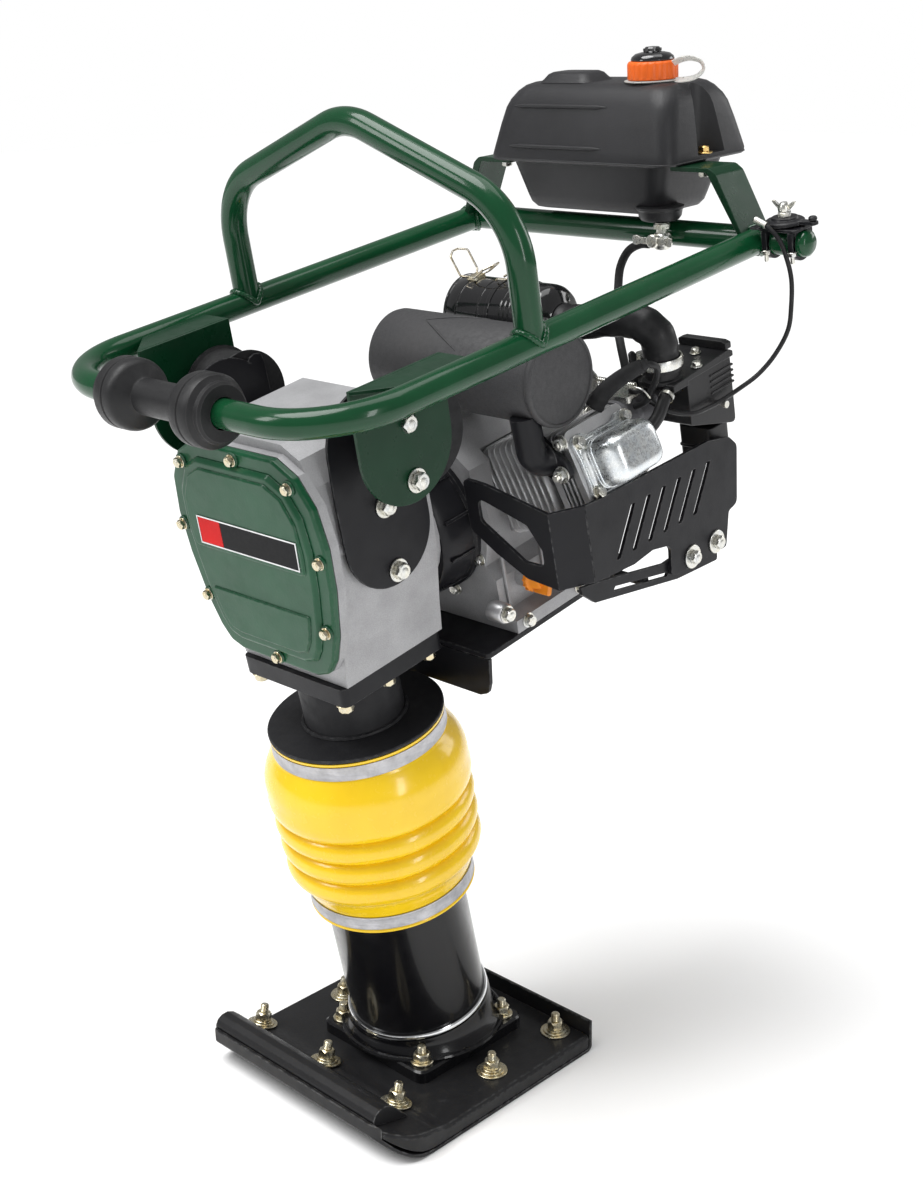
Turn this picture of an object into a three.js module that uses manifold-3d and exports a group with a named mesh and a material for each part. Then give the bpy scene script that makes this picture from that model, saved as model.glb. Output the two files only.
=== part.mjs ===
// Jumping jack rammer: a foot and leg that hop on springs under a gearbox, engine, tank and handle frame.
// Millimetres, +Z up. Origin: centre of the foot's underside. -Y is the front, +Y the operator's side.
import * as THREE from 'three';
import { mergeVertices } from 'three/addons/utils/BufferGeometryUtils.js';
import Module from 'manifold-3d';

const wasm = await Module();
wasm.setup();

// Driving dimensions.
const GAP = 0.3; // between pieces that touch
const ROUND = 28; // facets of a large round piece
const BORE = 12; // facets of a small one
const TILT = THREE.MathUtils.degToRad(11.65); // leg and machine lean to the front
const HANDLE_TILT = THREE.MathUtils.degToRad(9.34); // handle frame and tank lean a little less
const PIVOT_Y = 40.6; // where the leg axis meets the ground plane

const FOOT_W = 301, FOOT_L = 303, SOLE_T = 4, FOOT_TOP = 20.5, FOOT_RIM = 38.5;
const FLANGE_HALF = 81, FLANGE_Y = 33, FLANGE_TOP = 35;
const LEG_R = 75.5, LEG_IN_R = 69.5, LEG_TOP = 395, LEG_FLOOR = 55;
const COLLAR_R = 84, COLLAR_Z0 = 227, COLLAR_Z1 = 249;
const GUIDE_R = 82, GUIDE_IN_R = 76.3, GUIDE_Z0 = 300;
const DISK_R = 92, DISK_Z0 = 438, DISK_Z1 = 442, NECK_R = 52;
const PLATE_Z0 = 505, PLATE_Z1 = 524, PLATE_HALF = 76, PLATE_Y0 = -66, PLATE_Y1 = 69;
const RAM_BORE_R = 32;

const CRANK_Z = 600; // engine crankshaft and pinion
const GEAR_MODULE = 3, GEAR_TEETH = 48, PINION_TEETH = 10;
const GEAR_Z = CRANK_Z + (GEAR_MODULE * (GEAR_TEETH + PINION_TEETH)) / 2;
const THROW = 28; // crank pin radius, half the ram's stroke
const ROD_LENGTH = 110, CRANK_PIN_R = 10;
const GEAR_Y0 = 28, GEAR_Y1 = 44; // gear faces, behind the ram's fork

const COVER_Y = -68, COVER_FLANGE_T = 8, COVER_RAISE = 8;
const HOUSING_BACK = 70, WALL = 7;

const PTO_Y = 140, BLOCK_BACK = 262; // the engine block's two end faces
const BASE_Z = 492; // engine feet
const CYLINDER_TILT = THREE.MathUtils.degToRad(20);
const CYLINDER_Y = 222;

const MUFFLER_R = 46, MUFFLER_Y = 185, MUFFLER_Z = 760;
const FILTER_R = 38, FILTER_Y = 300, FILTER_Z = 765;

const TUBE_R = 13.5, HANDLE_X = 200, HANDLE_Z = 822.5;
const BAR_Y = -151, CROSS_Y = 449, CROSS_END = 262, BEND_R = 85;
const HOOP_Y = 97, HOOP_CORNER_Z = 942, HOOP_APEX_Z = 1018.6, HOOP_BEND_R = 75;
const HANGER_X = 149, HANGER_T = 4, DRUM_Y = 4, DRUM_Z = 761.5, DRUM_R = 46;
const MOUNT_X = 100.3, MOUNT_T = 3;
const TANK_TILT = THREE.MathUtils.degToRad(6); // tank against the handle frame
const TANK_Y = 404, TANK_RIM_Z = 905; // front edge of the tank's rim
const RIM_X = 125, RIM_DEPTH = 142, RIM_T = 6;
const CAP_X = 62, CAP_DEPTH = 59, CAP_Z = 76; // filler, measured on the tank
const TAP_X = 97, TAP_DEPTH = 25;
const LEVER_X = 232;
const ROLLER_X = -11;

const model = new THREE.Group();
const machine = new THREE.Group(); // everything square to the leg
machine.position.y = PIVOT_Y;
machine.rotation.x = TILT;
const handle = new THREE.Group(); // everything square to the handle frame
handle.position.y = PIVOT_Y;
handle.rotation.x = HANDLE_TILT;
const tank = new THREE.Group(); // everything square to the tank
tank.position.set(0, TANK_Y, TANK_RIM_Z);
tank.rotation.x = -TANK_TILT;
handle.add(tank);
model.add(machine, handle);

// ---- helpers ----

// A closed, welded geometry with its faces pointing out.
function solid(geometry) {
  const bare = new THREE.BufferGeometry();
  bare.setAttribute('position', geometry.getAttribute('position').clone());
  if (geometry.index) bare.setIndex(geometry.index.clone());
  const welded = mergeVertices(bare, 1e-3);
  const index = Array.from(welded.index.array);
  const kept = [];
  for (let i = 0; i < index.length; i += 3) {
    const [a, b, c] = index.slice(i, i + 3);
    if (a !== b && b !== c && c !== a) kept.push(a, b, c);
  }
  welded.setIndex(kept);
  if (volume(welded) < 0) {
    for (let i = 0; i < kept.length; i += 3) [kept[i], kept[i + 1]] = [kept[i + 1], kept[i]];
    welded.setIndex(kept);
  }
  return welded;
}

function volume(geometry) {
  const position = geometry.getAttribute('position');
  const corner = [new THREE.Vector3(), new THREE.Vector3(), new THREE.Vector3()];
  let sum = 0;
  for (let i = 0; i < geometry.index.count; i += 3) {
    corner.forEach((v, k) => v.fromBufferAttribute(position, geometry.index.getX(i + k)));
    sum += corner[0].dot(corner[1].cross(corner[2])) / 6;
  }
  return sum;
}

function toManifold(geometry) {
  const g = solid(geometry);
  const vertProperties = new Float32Array(g.getAttribute('position').array);
  const triVerts = new Uint32Array(g.index.array);
  return new wasm.Manifold(new wasm.Mesh({ numProp: 3, vertProperties, triVerts }));
}

function fromManifold(manifold) {
  const mesh = manifold.getMesh();
  const g = new THREE.BufferGeometry();
  g.setAttribute('position', new THREE.BufferAttribute(new Float32Array(mesh.vertProperties), 3));
  g.setIndex(Array.from(mesh.triVerts));
  return g;
}

function cut(base, ...tools) {
  return fromManifold(tools.reduce((left, tool) => left.subtract(toManifold(tool)), toManifold(base)));
}

function join(first, ...others) {
  return fromManifold(others.reduce((sum, other) => sum.add(toManifold(other)), toManifold(first)));
}

function common(a, b) {
  return fromManifold(toManifold(a).intersect(toManifold(b)));
}

function moved(geometry, x, y, z) {
  return geometry.clone().translate(x, y, z);
}

function mirrored(geometry) {
  return solid(geometry.clone().scale(-1, 1, 1));
}

function box(x0, x1, y0, y1, z0, z1) {
  const block = new THREE.BoxGeometry(x1 - x0, y1 - y0, z1 - z0);
  return block.translate((x0 + x1) / 2, (y0 + y1) / 2, (z0 + z1) / 2);
}

// Turns a shape made round or along +Z so that it runs along another axis.
function turned(geometry, axis) {
  if (axis === 'x') return geometry.rotateY(Math.PI / 2);
  if (axis === 'y') return geometry.rotateX(-Math.PI / 2);
  return geometry;
}

// Revolves [radius, height] points; height runs along the axis.
function lathe(points, axis = 'z', segments = ROUND) {
  const profile = points.map(([r, h]) => new THREE.Vector2(r, h));
  return turned(new THREE.LatheGeometry(profile, segments).rotateX(Math.PI / 2), axis);
}

function rod(radius, from, to, axis = 'z', segments = ROUND) {
  return lathe([[0, from], [radius, from], [radius, to], [0, to]], axis, segments);
}

function ring(outer, inner, from, to, axis = 'z', segments = ROUND) {
  return lathe([[inner, from], [outer, from], [outer, to], [inner, to], [inner, from]], axis, segments);
}

function shapeOf(points) {
  return new THREE.Shape(points.map(([u, v]) => new THREE.Vector2(u, v)));
}

function roundedRect(u0, u1, v0, v1, r) {
  const s = new THREE.Shape();
  s.moveTo(u0 + r, v0);
  s.lineTo(u1 - r, v0).absarc(u1 - r, v0 + r, r, -Math.PI / 2, 0);
  s.lineTo(u1, v1 - r).absarc(u1 - r, v1 - r, r, 0, Math.PI / 2);
  s.lineTo(u0 + r, v1).absarc(u0 + r, v1 - r, r, Math.PI / 2, Math.PI);
  s.lineTo(u0, v0 + r).absarc(u0 + r, v0 + r, r, Math.PI, 1.5 * Math.PI);
  return s;
}

// Extrudes a shape between two stations. Its (u, v) plane is YZ for 'x', XZ for 'y' and XY for 'z'.
function prism(shape, from, to, axis = 'z', curveSegments = 6) {
  const g = new THREE.ExtrudeGeometry(shape, { depth: to - from, bevelEnabled: false, curveSegments });
  const basis = new THREE.Matrix4();
  const X = new THREE.Vector3(1, 0, 0), Y = new THREE.Vector3(0, 1, 0), Z = new THREE.Vector3(0, 0, 1);
  if (axis === 'x') return g.applyMatrix4(basis.makeBasis(Y, Z, X)).translate(from, 0, 0);
  if (axis === 'y') return g.applyMatrix4(basis.makeBasis(X, Z, Y.negate())).translate(0, to, 0);
  return g.translate(0, 0, from);
}

// A bent tube's centre line: straights joined by arcs, with stations only where it bends.
class BentRoute extends THREE.Curve {
  constructor(corners, radius, perBend = 5) {
    super();
    const p = corners.map((q) => new THREE.Vector3(...q));
    this.stations = [{ point: p[0], tangent: p[1].clone().sub(p[0]).normalize() }];
    for (let i = 1; i < p.length - 1; i += 1) this.bend(p[i - 1], p[i], p[i + 1], radius, perBend);
    const end = p.length - 1;
    this.stations.push({ point: p[end], tangent: p[end].clone().sub(p[end - 1]).normalize() });
  }

  bend(before, corner, after, radius, steps) {
    const come = corner.clone().sub(before).normalize();
    const leave = after.clone().sub(corner).normalize();
    const axis = come.clone().cross(leave).normalize();
    const angle = come.angleTo(leave);
    const start = corner.clone().addScaledVector(come, -radius * Math.tan(angle / 2));
    const centre = start.clone().addScaledVector(axis.clone().cross(come), radius);
    for (let k = 0; k <= steps; k += 1) {
      const turn = (angle * k) / steps;
      const point = start.clone().sub(centre).applyAxisAngle(axis, turn).add(centre);
      this.stations.push({ point, tangent: come.clone().applyAxisAngle(axis, turn) });
    }
  }

  get steps() {
    return this.stations.length - 1;
  }

  getPointAt(u, target = new THREE.Vector3()) {
    return target.copy(this.stations[Math.round(u * this.steps)].point);
  }

  getTangentAt(u, target = new THREE.Vector3()) {
    return target.copy(this.stations[Math.round(u * this.steps)].tangent);
  }
}

function smooth(points) {
  return new THREE.CatmullRomCurve3(points.map((q) => new THREE.Vector3(...q)), false, 'centripetal');
}

// A round bar along a route.
function bar(path, radius, steps, sides = 12) {
  const section = new THREE.Shape();
  for (let i = 0; i < sides; i += 1) {
    const a = (2 * Math.PI * i) / sides;
    const corner = [radius * Math.cos(a), radius * Math.sin(a)];
    if (i === 0) section.moveTo(...corner);
    else section.lineTo(...corner);
  }
  return new THREE.ExtrudeGeometry(section, { steps, extrudePath: path, bevelEnabled: false });
}

// A closed skin over rings of points, all with the same number of points, from the bottom ring up.
function loft(rings) {
  const n = rings[0].length;
  const position = rings.flat(2);
  const index = [];
  for (let k = 0; k < rings.length - 1; k += 1) {
    for (let i = 0; i < n; i += 1) {
      const a = k * n + i, b = k * n + ((i + 1) % n);
      index.push(a, b, b + n, a, b + n, a + n);
    }
  }
  const top = (rings.length - 1) * n;
  for (let i = 1; i < n - 1; i += 1) index.push(0, i + 1, i, top, top + i, top + i + 1);
  const g = new THREE.BufferGeometry();
  g.setAttribute('position', new THREE.Float32BufferAttribute(position, 3));
  g.setIndex(index);
  return g;
}

function gearShape(teeth, module) {
  const pitch = (module * teeth) / 2;
  const tip = pitch + 0.75 * module, root = pitch - 1.05 * module;
  const points = [];
  for (let i = 0; i < teeth; i += 1) {
    const step = (2 * Math.PI) / teeth;
    [[-0.3, root], [-0.11, tip], [0.11, tip], [0.3, root]].forEach(([part, r]) => {
      const a = (i + part) * step;
      points.push([r * Math.cos(a), r * Math.sin(a)]);
    });
  }
  return shapeOf(points);
}

// Brings a shape given square to the ground into the leaning machine's frame.
function toMachine(geometry) {
  return geometry.translate(0, -PIVOT_Y, 0).rotateX(-TILT);
}

function add(parent, name, geometry, color, roughness, metalness) {
  const material = new THREE.MeshStandardMaterial({ color, roughness, metalness });
  const mesh = new THREE.Mesh(solid(geometry), material);
  mesh.name = name;
  parent.add(mesh);
  return mesh;
}

const BLACK_PAINT = 0x151517, FRAME_GREEN = 0x1c4a2b, COVER_GREEN = 0x1d5034, ALLOY = 0x9a9a9f;
const RUBBER = 0x1b1b1c, STEEL = 0x8c8c90, YELLOW = 0xf5c81e, PLASTIC = 0x26262a, CHROME = 0xc4c8cc;

// ---- foot and leg ----

function footOutline() {
  const w = FOOT_W / 2, l = FOOT_L / 2, r = 42, sharp = 7;
  const s = new THREE.Shape();
  s.moveTo(w, l).lineTo(-w, l).lineTo(-w, -l + sharp).lineTo(-w + sharp, -l);
  s.lineTo(w - r, -l).absarc(w - r, -l + r, r, -Math.PI / 2, 0);
  return prism(s, -5, 90, 'z', 5);
}

// Pressed steel sole: flat underside, ski-tip front with a thin lip, and a rim at the back.
function solePlate() {
  const e = FOOT_L / 2, t = SOLE_T;
  const s = new THREE.Shape();
  s.moveTo(e, 0).lineTo(-92, 0);
  s.quadraticCurveTo(-132, 0, -e, 28);
  s.lineTo(-e, 42).lineTo(-e + t, 42).lineTo(-e + t, 30.5);
  s.quadraticCurveTo(-130, t + 0.6, -92, t);
  s.lineTo(e - t, t).lineTo(e - t, FOOT_RIM).lineTo(e, FOOT_RIM);
  return common(prism(s, -FOOT_W / 2, FOOT_W / 2, 'x', 8), footOutline());
}

// Filled shoe above the sole, with a rounded roll along its front.
function shoeBody() {
  const back = FOOT_L / 2 - SOLE_T - GAP, front = -back, base = SOLE_T + GAP;
  const s = new THREE.Shape();
  s.moveTo(back, base).lineTo(-92, base);
  s.quadraticCurveTo(-130, base + 0.6, front, 30.8);
  s.lineTo(front, 40);
  s.quadraticCurveTo(-145, 52, -133, 52);
  s.quadraticCurveTo(-124, 52, -113, 44);
  s.lineTo(-93, 27.5);
  s.quadraticCurveTo(-84, FOOT_TOP, -74, FOOT_TOP);
  s.lineTo(back, FOOT_TOP);
  return common(prism(s, -FOOT_W / 2, FOOT_W / 2, 'x', 8), footOutline());
}

function legFlange() {
  const y0 = FLANGE_Y - FLANGE_HALF, y1 = FLANGE_Y + FLANGE_HALF;
  return prism(roundedRect(-FLANGE_HALF, FLANGE_HALF, y0, y1, 14), FOOT_TOP + GAP, FLANGE_TOP, 'z');
}

// Spring cylinder: a cup with a collar that the bellows clamps on.
function legTube() {
  const cup = lathe([
    [0, 0], [LEG_R, 0], [LEG_R, COLLAR_Z0], [COLLAR_R, COLLAR_Z0], [COLLAR_R, COLLAR_Z1],
    [LEG_R, COLLAR_Z1], [LEG_R, LEG_TOP], [LEG_IN_R, LEG_TOP], [LEG_IN_R, LEG_FLOOR], [0, LEG_FLOOR],
  ]);
  const below = toMachine(box(-200, 200, -200, 250, -200, FLANGE_TOP + GAP));
  return cut(cup, below);
}

const BELLOWS_OUTER = [
  [90, 227], [90, 231], [88.2, 231.6], [88.2, 247], [98, 267], [104, 282], [99.5, 295.5], [105, 309],
  [100, 321.5], [105.5, 335], [101.5, 348], [107.5, 375], [104, 397], [89.9, 418], [89.9, 434],
  [91.6, 434.6], [91.6, DISK_Z0 - GAP],
];
const BELLOWS_INNER = [
  [86.4, DISK_Z0 - GAP], [86.4, 416], [98, 396], [96, 284], [COLLAR_R + GAP, 252], [COLLAR_R + GAP, 227],
];

function bellows() {
  return lathe([...BELLOWS_OUTER, ...BELLOWS_INNER, BELLOWS_OUTER[0]]);
}

// Outer guide fixed to the machine; the leg slides up and down inside it.
function guideCylinder() {
  const top = DISK_Z0 - GAP;
  return lathe([
    [GUIDE_IN_R, GUIDE_Z0], [GUIDE_R, GUIDE_Z0], [GUIDE_R, 414], [86, 418], [86, top], [GUIDE_IN_R, top],
    [GUIDE_IN_R, GUIDE_Z0],
  ]);
}

function guideFlange() {
  const outline = roundedRect(-PLATE_HALF, PLATE_HALF, PLATE_Y0, PLATE_Y1, 8);
  const plate = prism(outline, PLATE_Z0, PLATE_Z1, 'z', 3);
  const neck = rod(NECK_R, DISK_Z1 - 1, PLATE_Z0 + 1);
  const disk = rod(DISK_R, DISK_Z0, DISK_Z1);
  return cut(join(plate, neck, disk), rod(RAM_BORE_R, DISK_Z0 - 2, PLATE_Z1 + 2));
}

// Ram: a disk between the two spring packs, a stem, and a long fork open to the connecting rod.
function ramPiston() {
  const fork = cut(rod(24, 440, 566), box(-30, 30, -9.5, 9.5, 478, 570));
  const trimmed = common(fork, box(-16, 16, -30, 30, 400, 600));
  return join(rod(66, 230, 248), rod(14, 247, 445), trimmed);
}

function coilSpring(radius, wire, z0, z1, turns) {
  class Helix extends THREE.Curve {
    getPoint(t, target = new THREE.Vector3()) {
      const a = 2 * Math.PI * turns * t;
      return target.set(radius * Math.cos(a), radius * Math.sin(a), z0 + wire + (z1 - z0 - 2 * wire) * t);
    }
  }
  return bar(new Helix(), wire, turns * 10, 6);
}

function buildLeg() {
  add(model, 'sole_plate', solePlate(), BLACK_PAINT, 0.6, 0.3);
  add(model, 'shoe_body', shoeBody(), BLACK_PAINT, 0.7, 0.0);
  add(model, 'leg_flange', legFlange(), BLACK_PAINT, 0.35, 0.4);
  add(machine, 'leg_tube', legTube(), 0x0d0d10, 0.15, 0.4);
  add(machine, 'leg_ring', ring(79, LEG_R + GAP, 70, 76), CHROME, 0.2, 1.0);
  add(machine, 'bellows', bellows(), YELLOW, 0.25, 0.0);
  add(machine, 'lower_band', ring(89.8, 88.5, 231.8, 246.6), STEEL, 0.4, 0.9);
  add(machine, 'upper_band', ring(91.5, 90.2, 418.2, 433.6), STEEL, 0.4, 0.9);
  add(machine, 'spring_retainer', ring(LEG_IN_R - GAP, 18, 383, 394), STEEL, 0.5, 0.9);
  add(machine, 'guide_cylinder', guideCylinder(), STEEL, 0.5, 0.8);
  add(machine, 'guide_flange', guideFlange(), BLACK_PAINT, 0.55, 0.3);
  add(machine, 'ram_piston', ramPiston(), STEEL, 0.4, 0.9);
  add(machine, 'upper_spring', coilSpring(52, 5.5, 248.3, 382.7, 4), STEEL, 0.4, 0.9);
  add(machine, 'lower_spring', coilSpring(52, 5.5, LEG_FLOOR + GAP, 229.7, 5), STEEL, 0.4, 0.9);
}

// ---- gearbox ----

// Half outlines from the top centre down; both are mirrored to the other side.
const COVER_HALF = [
  [60, 765], [85, 751], [102, 723], [108, 684], [105, 640], [95, 590], [84, 562], [73, 547], [56, 541],
];
const BODY_HALF = [
  [58, 774], [80, 762], [92, 736], [96, 715], [96, 655], [91, 610], [82, 560], [77, PLATE_Z1 + GAP],
];

function mirroredOutline(half, inset = 0) {
  const centre = 650;
  const shrunk = half.map(([x, z]) => {
    const length = Math.hypot(x, z - centre);
    return [x - (inset * x) / length * 1.15, z - (inset * (z - centre)) / length * 1.15];
  });
  return shapeOf([...shrunk, ...shrunk.map(([x, z]) => [-x, z]).reverse()]);
}

// Ridge cast on the flank, which carries a mount plate clear of the sloping wall.
function mountPad() {
  const bosses = [626, 693].map((z) => moved(rod(13, 86, MOUNT_X - GAP, 'x', BORE), 0, 8, z));
  return join(box(86, MOUNT_X - GAP, -4, 20, 626, 693), ...bosses);
}

function gearboxHousing() {
  const flange = prism(mirroredOutline(COVER_HALF), COVER_Y + GAP, COVER_Y + 10, 'y');
  const body = prism(mirroredOutline(BODY_HALF), COVER_Y + 8, HOUSING_BACK, 'y');
  const boss = moved(rod(74, HOUSING_BACK - 2, 92, 'y'), 0, 0, CRANK_Z + 18);
  const cavity = prism(mirroredOutline(BODY_HALF, WALL), COVER_Y + 8 + WALL, HOUSING_BACK - WALL, 'y');
  const mouth = prism(mirroredOutline(COVER_HALF, 14), COVER_Y - 5, COVER_Y + 9 + WALL, 'y');
  const floorHole = rod(42, PLATE_Z1 - 5, PLATE_Z1 + 20);
  const pinionBore = moved(rod(19, 40, 110, 'y'), 0, 0, CRANK_Z);
  const bearing = moved(ring(30, 18.3, HOUSING_BACK - WALL - 14, HOUSING_BACK - 3, 'y', 16), 0, 0, GEAR_Z);
  const shell = cut(join(flange, body, boss), cavity, mouth, floorHole, pinionBore);
  return join(shell, bearing, mountPad(), mirrored(mountPad()));
}

function frontCover() {
  const flange = prism(mirroredOutline(COVER_HALF), COVER_Y - COVER_FLANGE_T, COVER_Y, 'y');
  const front = COVER_Y - COVER_FLANGE_T - COVER_RAISE;
  const panel = prism(mirroredOutline(COVER_HALF, 16), front, COVER_Y - 2, 'y');
  const hollow = prism(mirroredOutline(COVER_HALF, 20), front + 4, COVER_Y + 5, 'y');
  return cut(join(flange, panel), hollow);
}

function crankGear() {
  const wheel = moved(prism(gearShape(GEAR_TEETH, GEAR_MODULE), GEAR_Y0, GEAR_Y1, 'y'), 0, 0, GEAR_Z);
  const shaft = moved(rod(17.8, GEAR_Y1 - 1, HOUSING_BACK - 10, 'y', 16), 0, 0, GEAR_Z);
  const pin = moved(rod(CRANK_PIN_R, -9, GEAR_Y0 + 1, 'y', BORE), 0, 0, GEAR_Z - THROW);
  return join(wheel, shaft, pin);
}

// Connecting rod: big end on the crank pin, small end hanging free between the ram fork's ears.
function connectingRod() {
  const pinZ = GEAR_Z - THROW, wristZ = pinZ - ROD_LENGTH;
  const bigEnd = moved(rod(19, -8, 8, 'y', 16), 0, 0, pinZ);
  const smallEnd = moved(rod(13, -8, 8, 'y', 16), 0, 0, wristZ);
  const beam = box(-8, 8, -6, 6, wristZ, pinZ);
  return cut(join(bigEnd, smallEnd, beam), moved(rod(CRANK_PIN_R + 3 * GAP, -12, 14, 'y', BORE), 0, 0, pinZ));
}

// Clutch drum with the pinion on its nose; it turns with the engine once the shoes grip.
function clutchDrum() {
  const pinion = prism(gearShape(PINION_TEETH, GEAR_MODULE), GEAR_Y0 - 2, GEAR_Y1 + 2, 'y');
  const shaft = rod(11, GEAR_Y1 + 1, 102, 'y', BORE);
  const drum = lathe([[0, 100], [58, 100], [58, 132], [53, 132], [53, 105], [0, 105]], 'y', 24);
  return moved(join(pinion, shaft, drum), 0, 0, CRANK_Z);
}

function clutchHousing() {
  const shell = lathe([
    [66, 92.3], [76, 92.3], [79, 112], [79, PTO_Y - GAP], [66, PTO_Y - GAP], [66, 92.3],
  ], 'y', 24);
  return moved(shell, 0, 0, CRANK_Z + 6);
}

function buildGearbox() {
  add(machine, 'gearbox_housing', gearboxHousing(), ALLOY, 0.5, 0.4);
  add(machine, 'front_cover', frontCover(), COVER_GREEN, 0.35, 0.3);
  add(machine, 'crank_gear', crankGear(), STEEL, 0.4, 0.9);
  add(machine, 'connecting_rod', connectingRod(), STEEL, 0.4, 0.9);
  add(machine, 'clutch_drum', clutchDrum(), STEEL, 0.45, 0.8);
  add(machine, 'clutch_housing', clutchHousing(), BLACK_PAINT, 0.5, 0.3);
}

// ---- rubber suspension between gearbox and handle ----

// Right-hand black plate on the gearbox flank; its top follows the drum and ends in a small ear.
function mountPlate() {
  const s = new THREE.Shape();
  s.moveTo(60, 666);
  s.lineTo(60, 790).quadraticCurveTo(59, 803, 50, 801).quadraticCurveTo(43, 799, 40, 795);
  s.absarc(DRUM_Y + 2, DRUM_Z - 4, 52, 0.84, Math.PI - 0.05);
  s.lineTo(-48, 666);
  s.absarc(6, 666, 54, Math.PI, 2 * Math.PI);
  return prism(s, MOUNT_X, MOUNT_X + MOUNT_T, 'x', 8);
}

function rubberDrum() {
  return moved(rod(DRUM_R, MOUNT_X + MOUNT_T + GAP, HANGER_X - GAP, 'x', 24), 0, DRUM_Y, DRUM_Z);
}

// Right-hand hanger: a flange under the side tube folded down into a round-ended plate.
function hangerPlate() {
  const y0 = -81, y1 = 31, mid = (y0 + y1) / 2, fold = 830;
  const s = new THREE.Shape();
  s.moveTo(y1, fold).lineTo(y0, fold).lineTo(y0, 763);
  s.absarc(mid, 763, (y1 - y0) / 2, Math.PI, 2 * Math.PI);
  const window = moved(rod(10, HANGER_X - 5, HANGER_X + 10, 'x', BORE), 0, -19, 781);
  const upright = cut(prism(s, HANGER_X, HANGER_X + HANGER_T, 'x', 8), window);
  const shelf = shapeOf([[HANGER_X, y0], [HANDLE_X, y0 + 40], [HANDLE_X, y1], [HANGER_X, y1]]);
  const flange = prism(shelf, fold - HANGER_T, fold);
  return cut(join(upright, flange), handleLoop(TUBE_R + GAP));
}

function buildSuspension() {
  const pieces = [
    [machine, 'mount_plate', mountPlate(), BLACK_PAINT, 0.4, 0.4],
    [machine, 'rubber_drum', rubberDrum(), RUBBER, 0.85, 0.0],
    [handle, 'hanger_plate', hangerPlate(), FRAME_GREEN, 0.3, 0.3],
  ];
  pieces.forEach(([parent, name, geometry, ...look]) => {
    add(parent, `right_${name}`, geometry, ...look);
    add(parent, `left_${name}`, mirrored(geometry), ...look);
  });
}

// ---- engine ----

// Places a shape built along +X from the crankshaft onto the leaning cylinder axis.
function onCylinder(geometry) {
  return geometry.rotateY(-CYLINDER_TILT).translate(0, 0, CRANK_Z);
}

function engineCrankcase() {
  const outline = shapeOf([
    [-92, BASE_Z], [112, BASE_Z], [112, BASE_Z + 14], [92, BASE_Z + 18], [92, 548], [80, 562], [80, 668],
    [40, 700], [-50, 700], [-84, 668], [-92, 600],
  ]);
  const block = prism(outline, PTO_Y, BLOCK_BACK, 'y');
  const filler = moved(rod(12, 80, 104, 'x', BORE), 0, 178, 538);
  const barrelSeat = onCylinder(box(70, 84, CYLINDER_Y - 38, BLOCK_BACK, -44, 44));
  const room = onCylinder(box(84, 300, CYLINDER_Y - 52, BLOCK_BACK + 5, -49, 49));
  return cut(join(block, filler, barrelSeat), room);
}

// Barrel with square cooling fins across its axis.
function cylinderFins() {
  const fins = [box(84.3, 166, CYLINDER_Y - 34, CYLINDER_Y + 34, -34, 34)];
  for (let d = 88; d < 164; d += 9) fins.push(box(d, d + 3, CYLINDER_Y - 50, CYLINDER_Y + 38, -47, 47));
  return onCylinder(join(...fins));
}

function cylinderHead() {
  const head = prism(roundedRect(CYLINDER_Y - 46, CYLINDER_Y + 42, -42, 42, 8), 166.3, 203.7, 'x', 3);
  return onCylinder(head);
}

function valveCover() {
  const y0 = CYLINDER_Y - 43, y1 = CYLINDER_Y + 43;
  const flange = prism(roundedRect(y0, y1, -32.5, 34, 10), 203.9, 207.5, 'x', 3);
  const dome = prism(roundedRect(y0 + 8, y1 - 8, -25, 25, 14), 207, 249, 'x', 4);
  return onCylinder(join(flange, dome));
}

function exhaustPipe() {
  const face = CYLINDER_Y - 50 - 1;
  const flange = prism(roundedRect(134, 196, 664, 708, 8), face - 8, face - GAP, 'y', 3);
  const port = moved(rod(15, face - 22, face - 4, 'y', 16), 160, 0, 686);
  const riser = moved(rod(15, 686, 740, 'z', 16), 160, face - 20, 0);
  const can = moved(rod(MUFFLER_R + GAP, -100, 200, 'x'), 0, MUFFLER_Y, MUFFLER_Z);
  const shell = cut(join(flange, port, riser), can);
  return common(shell, box(100, 220, 100, face, 640, MUFFLER_Z - 20));
}

function muffler() {
  const half = MUFFLER_R - 6;
  const shell = lathe([
    [0, -41], [half, -41], [MUFFLER_R, -35], [MUFFLER_R, 176], [half, 182], [0, 182],
  ], 'x');
  return moved(shell, 0, MUFFLER_Y, MUFFLER_Z);
}

function airFilter() {
  const r = FILTER_R;
  const can = lathe([
    [0, -54], [r - 6, -54], [r, -48], [r, 70], [r - 10, 80], [21, 84], [0, 84],
  ], 'x', 24);
  return moved(can, 0, FILTER_Y, FILTER_Z);
}

// Sprung wire bail that holds the filter's lid.
function filterClip() {
  const top = FILTER_Z + FILTER_R, foot = top + 1.5;
  const wire = smooth([
    [-30, FILTER_Y - 9, foot], [-29, FILTER_Y - 11, top + 11], [-18, FILTER_Y - 13, top + 17],
    [-2, FILTER_Y - 12, top + 13], [0, FILTER_Y, top + 11], [-2, FILTER_Y + 12, top + 13],
    [-18, FILTER_Y + 13, top + 17], [-29, FILTER_Y + 11, top + 11], [-30, FILTER_Y + 9, foot],
  ]);
  return bar(wire, 1.6, 24, 6);
}

const ELBOW_X = 187, ELBOW_Y = 322, NECK_TOP = 720, ELBOW_R = 18;

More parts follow.
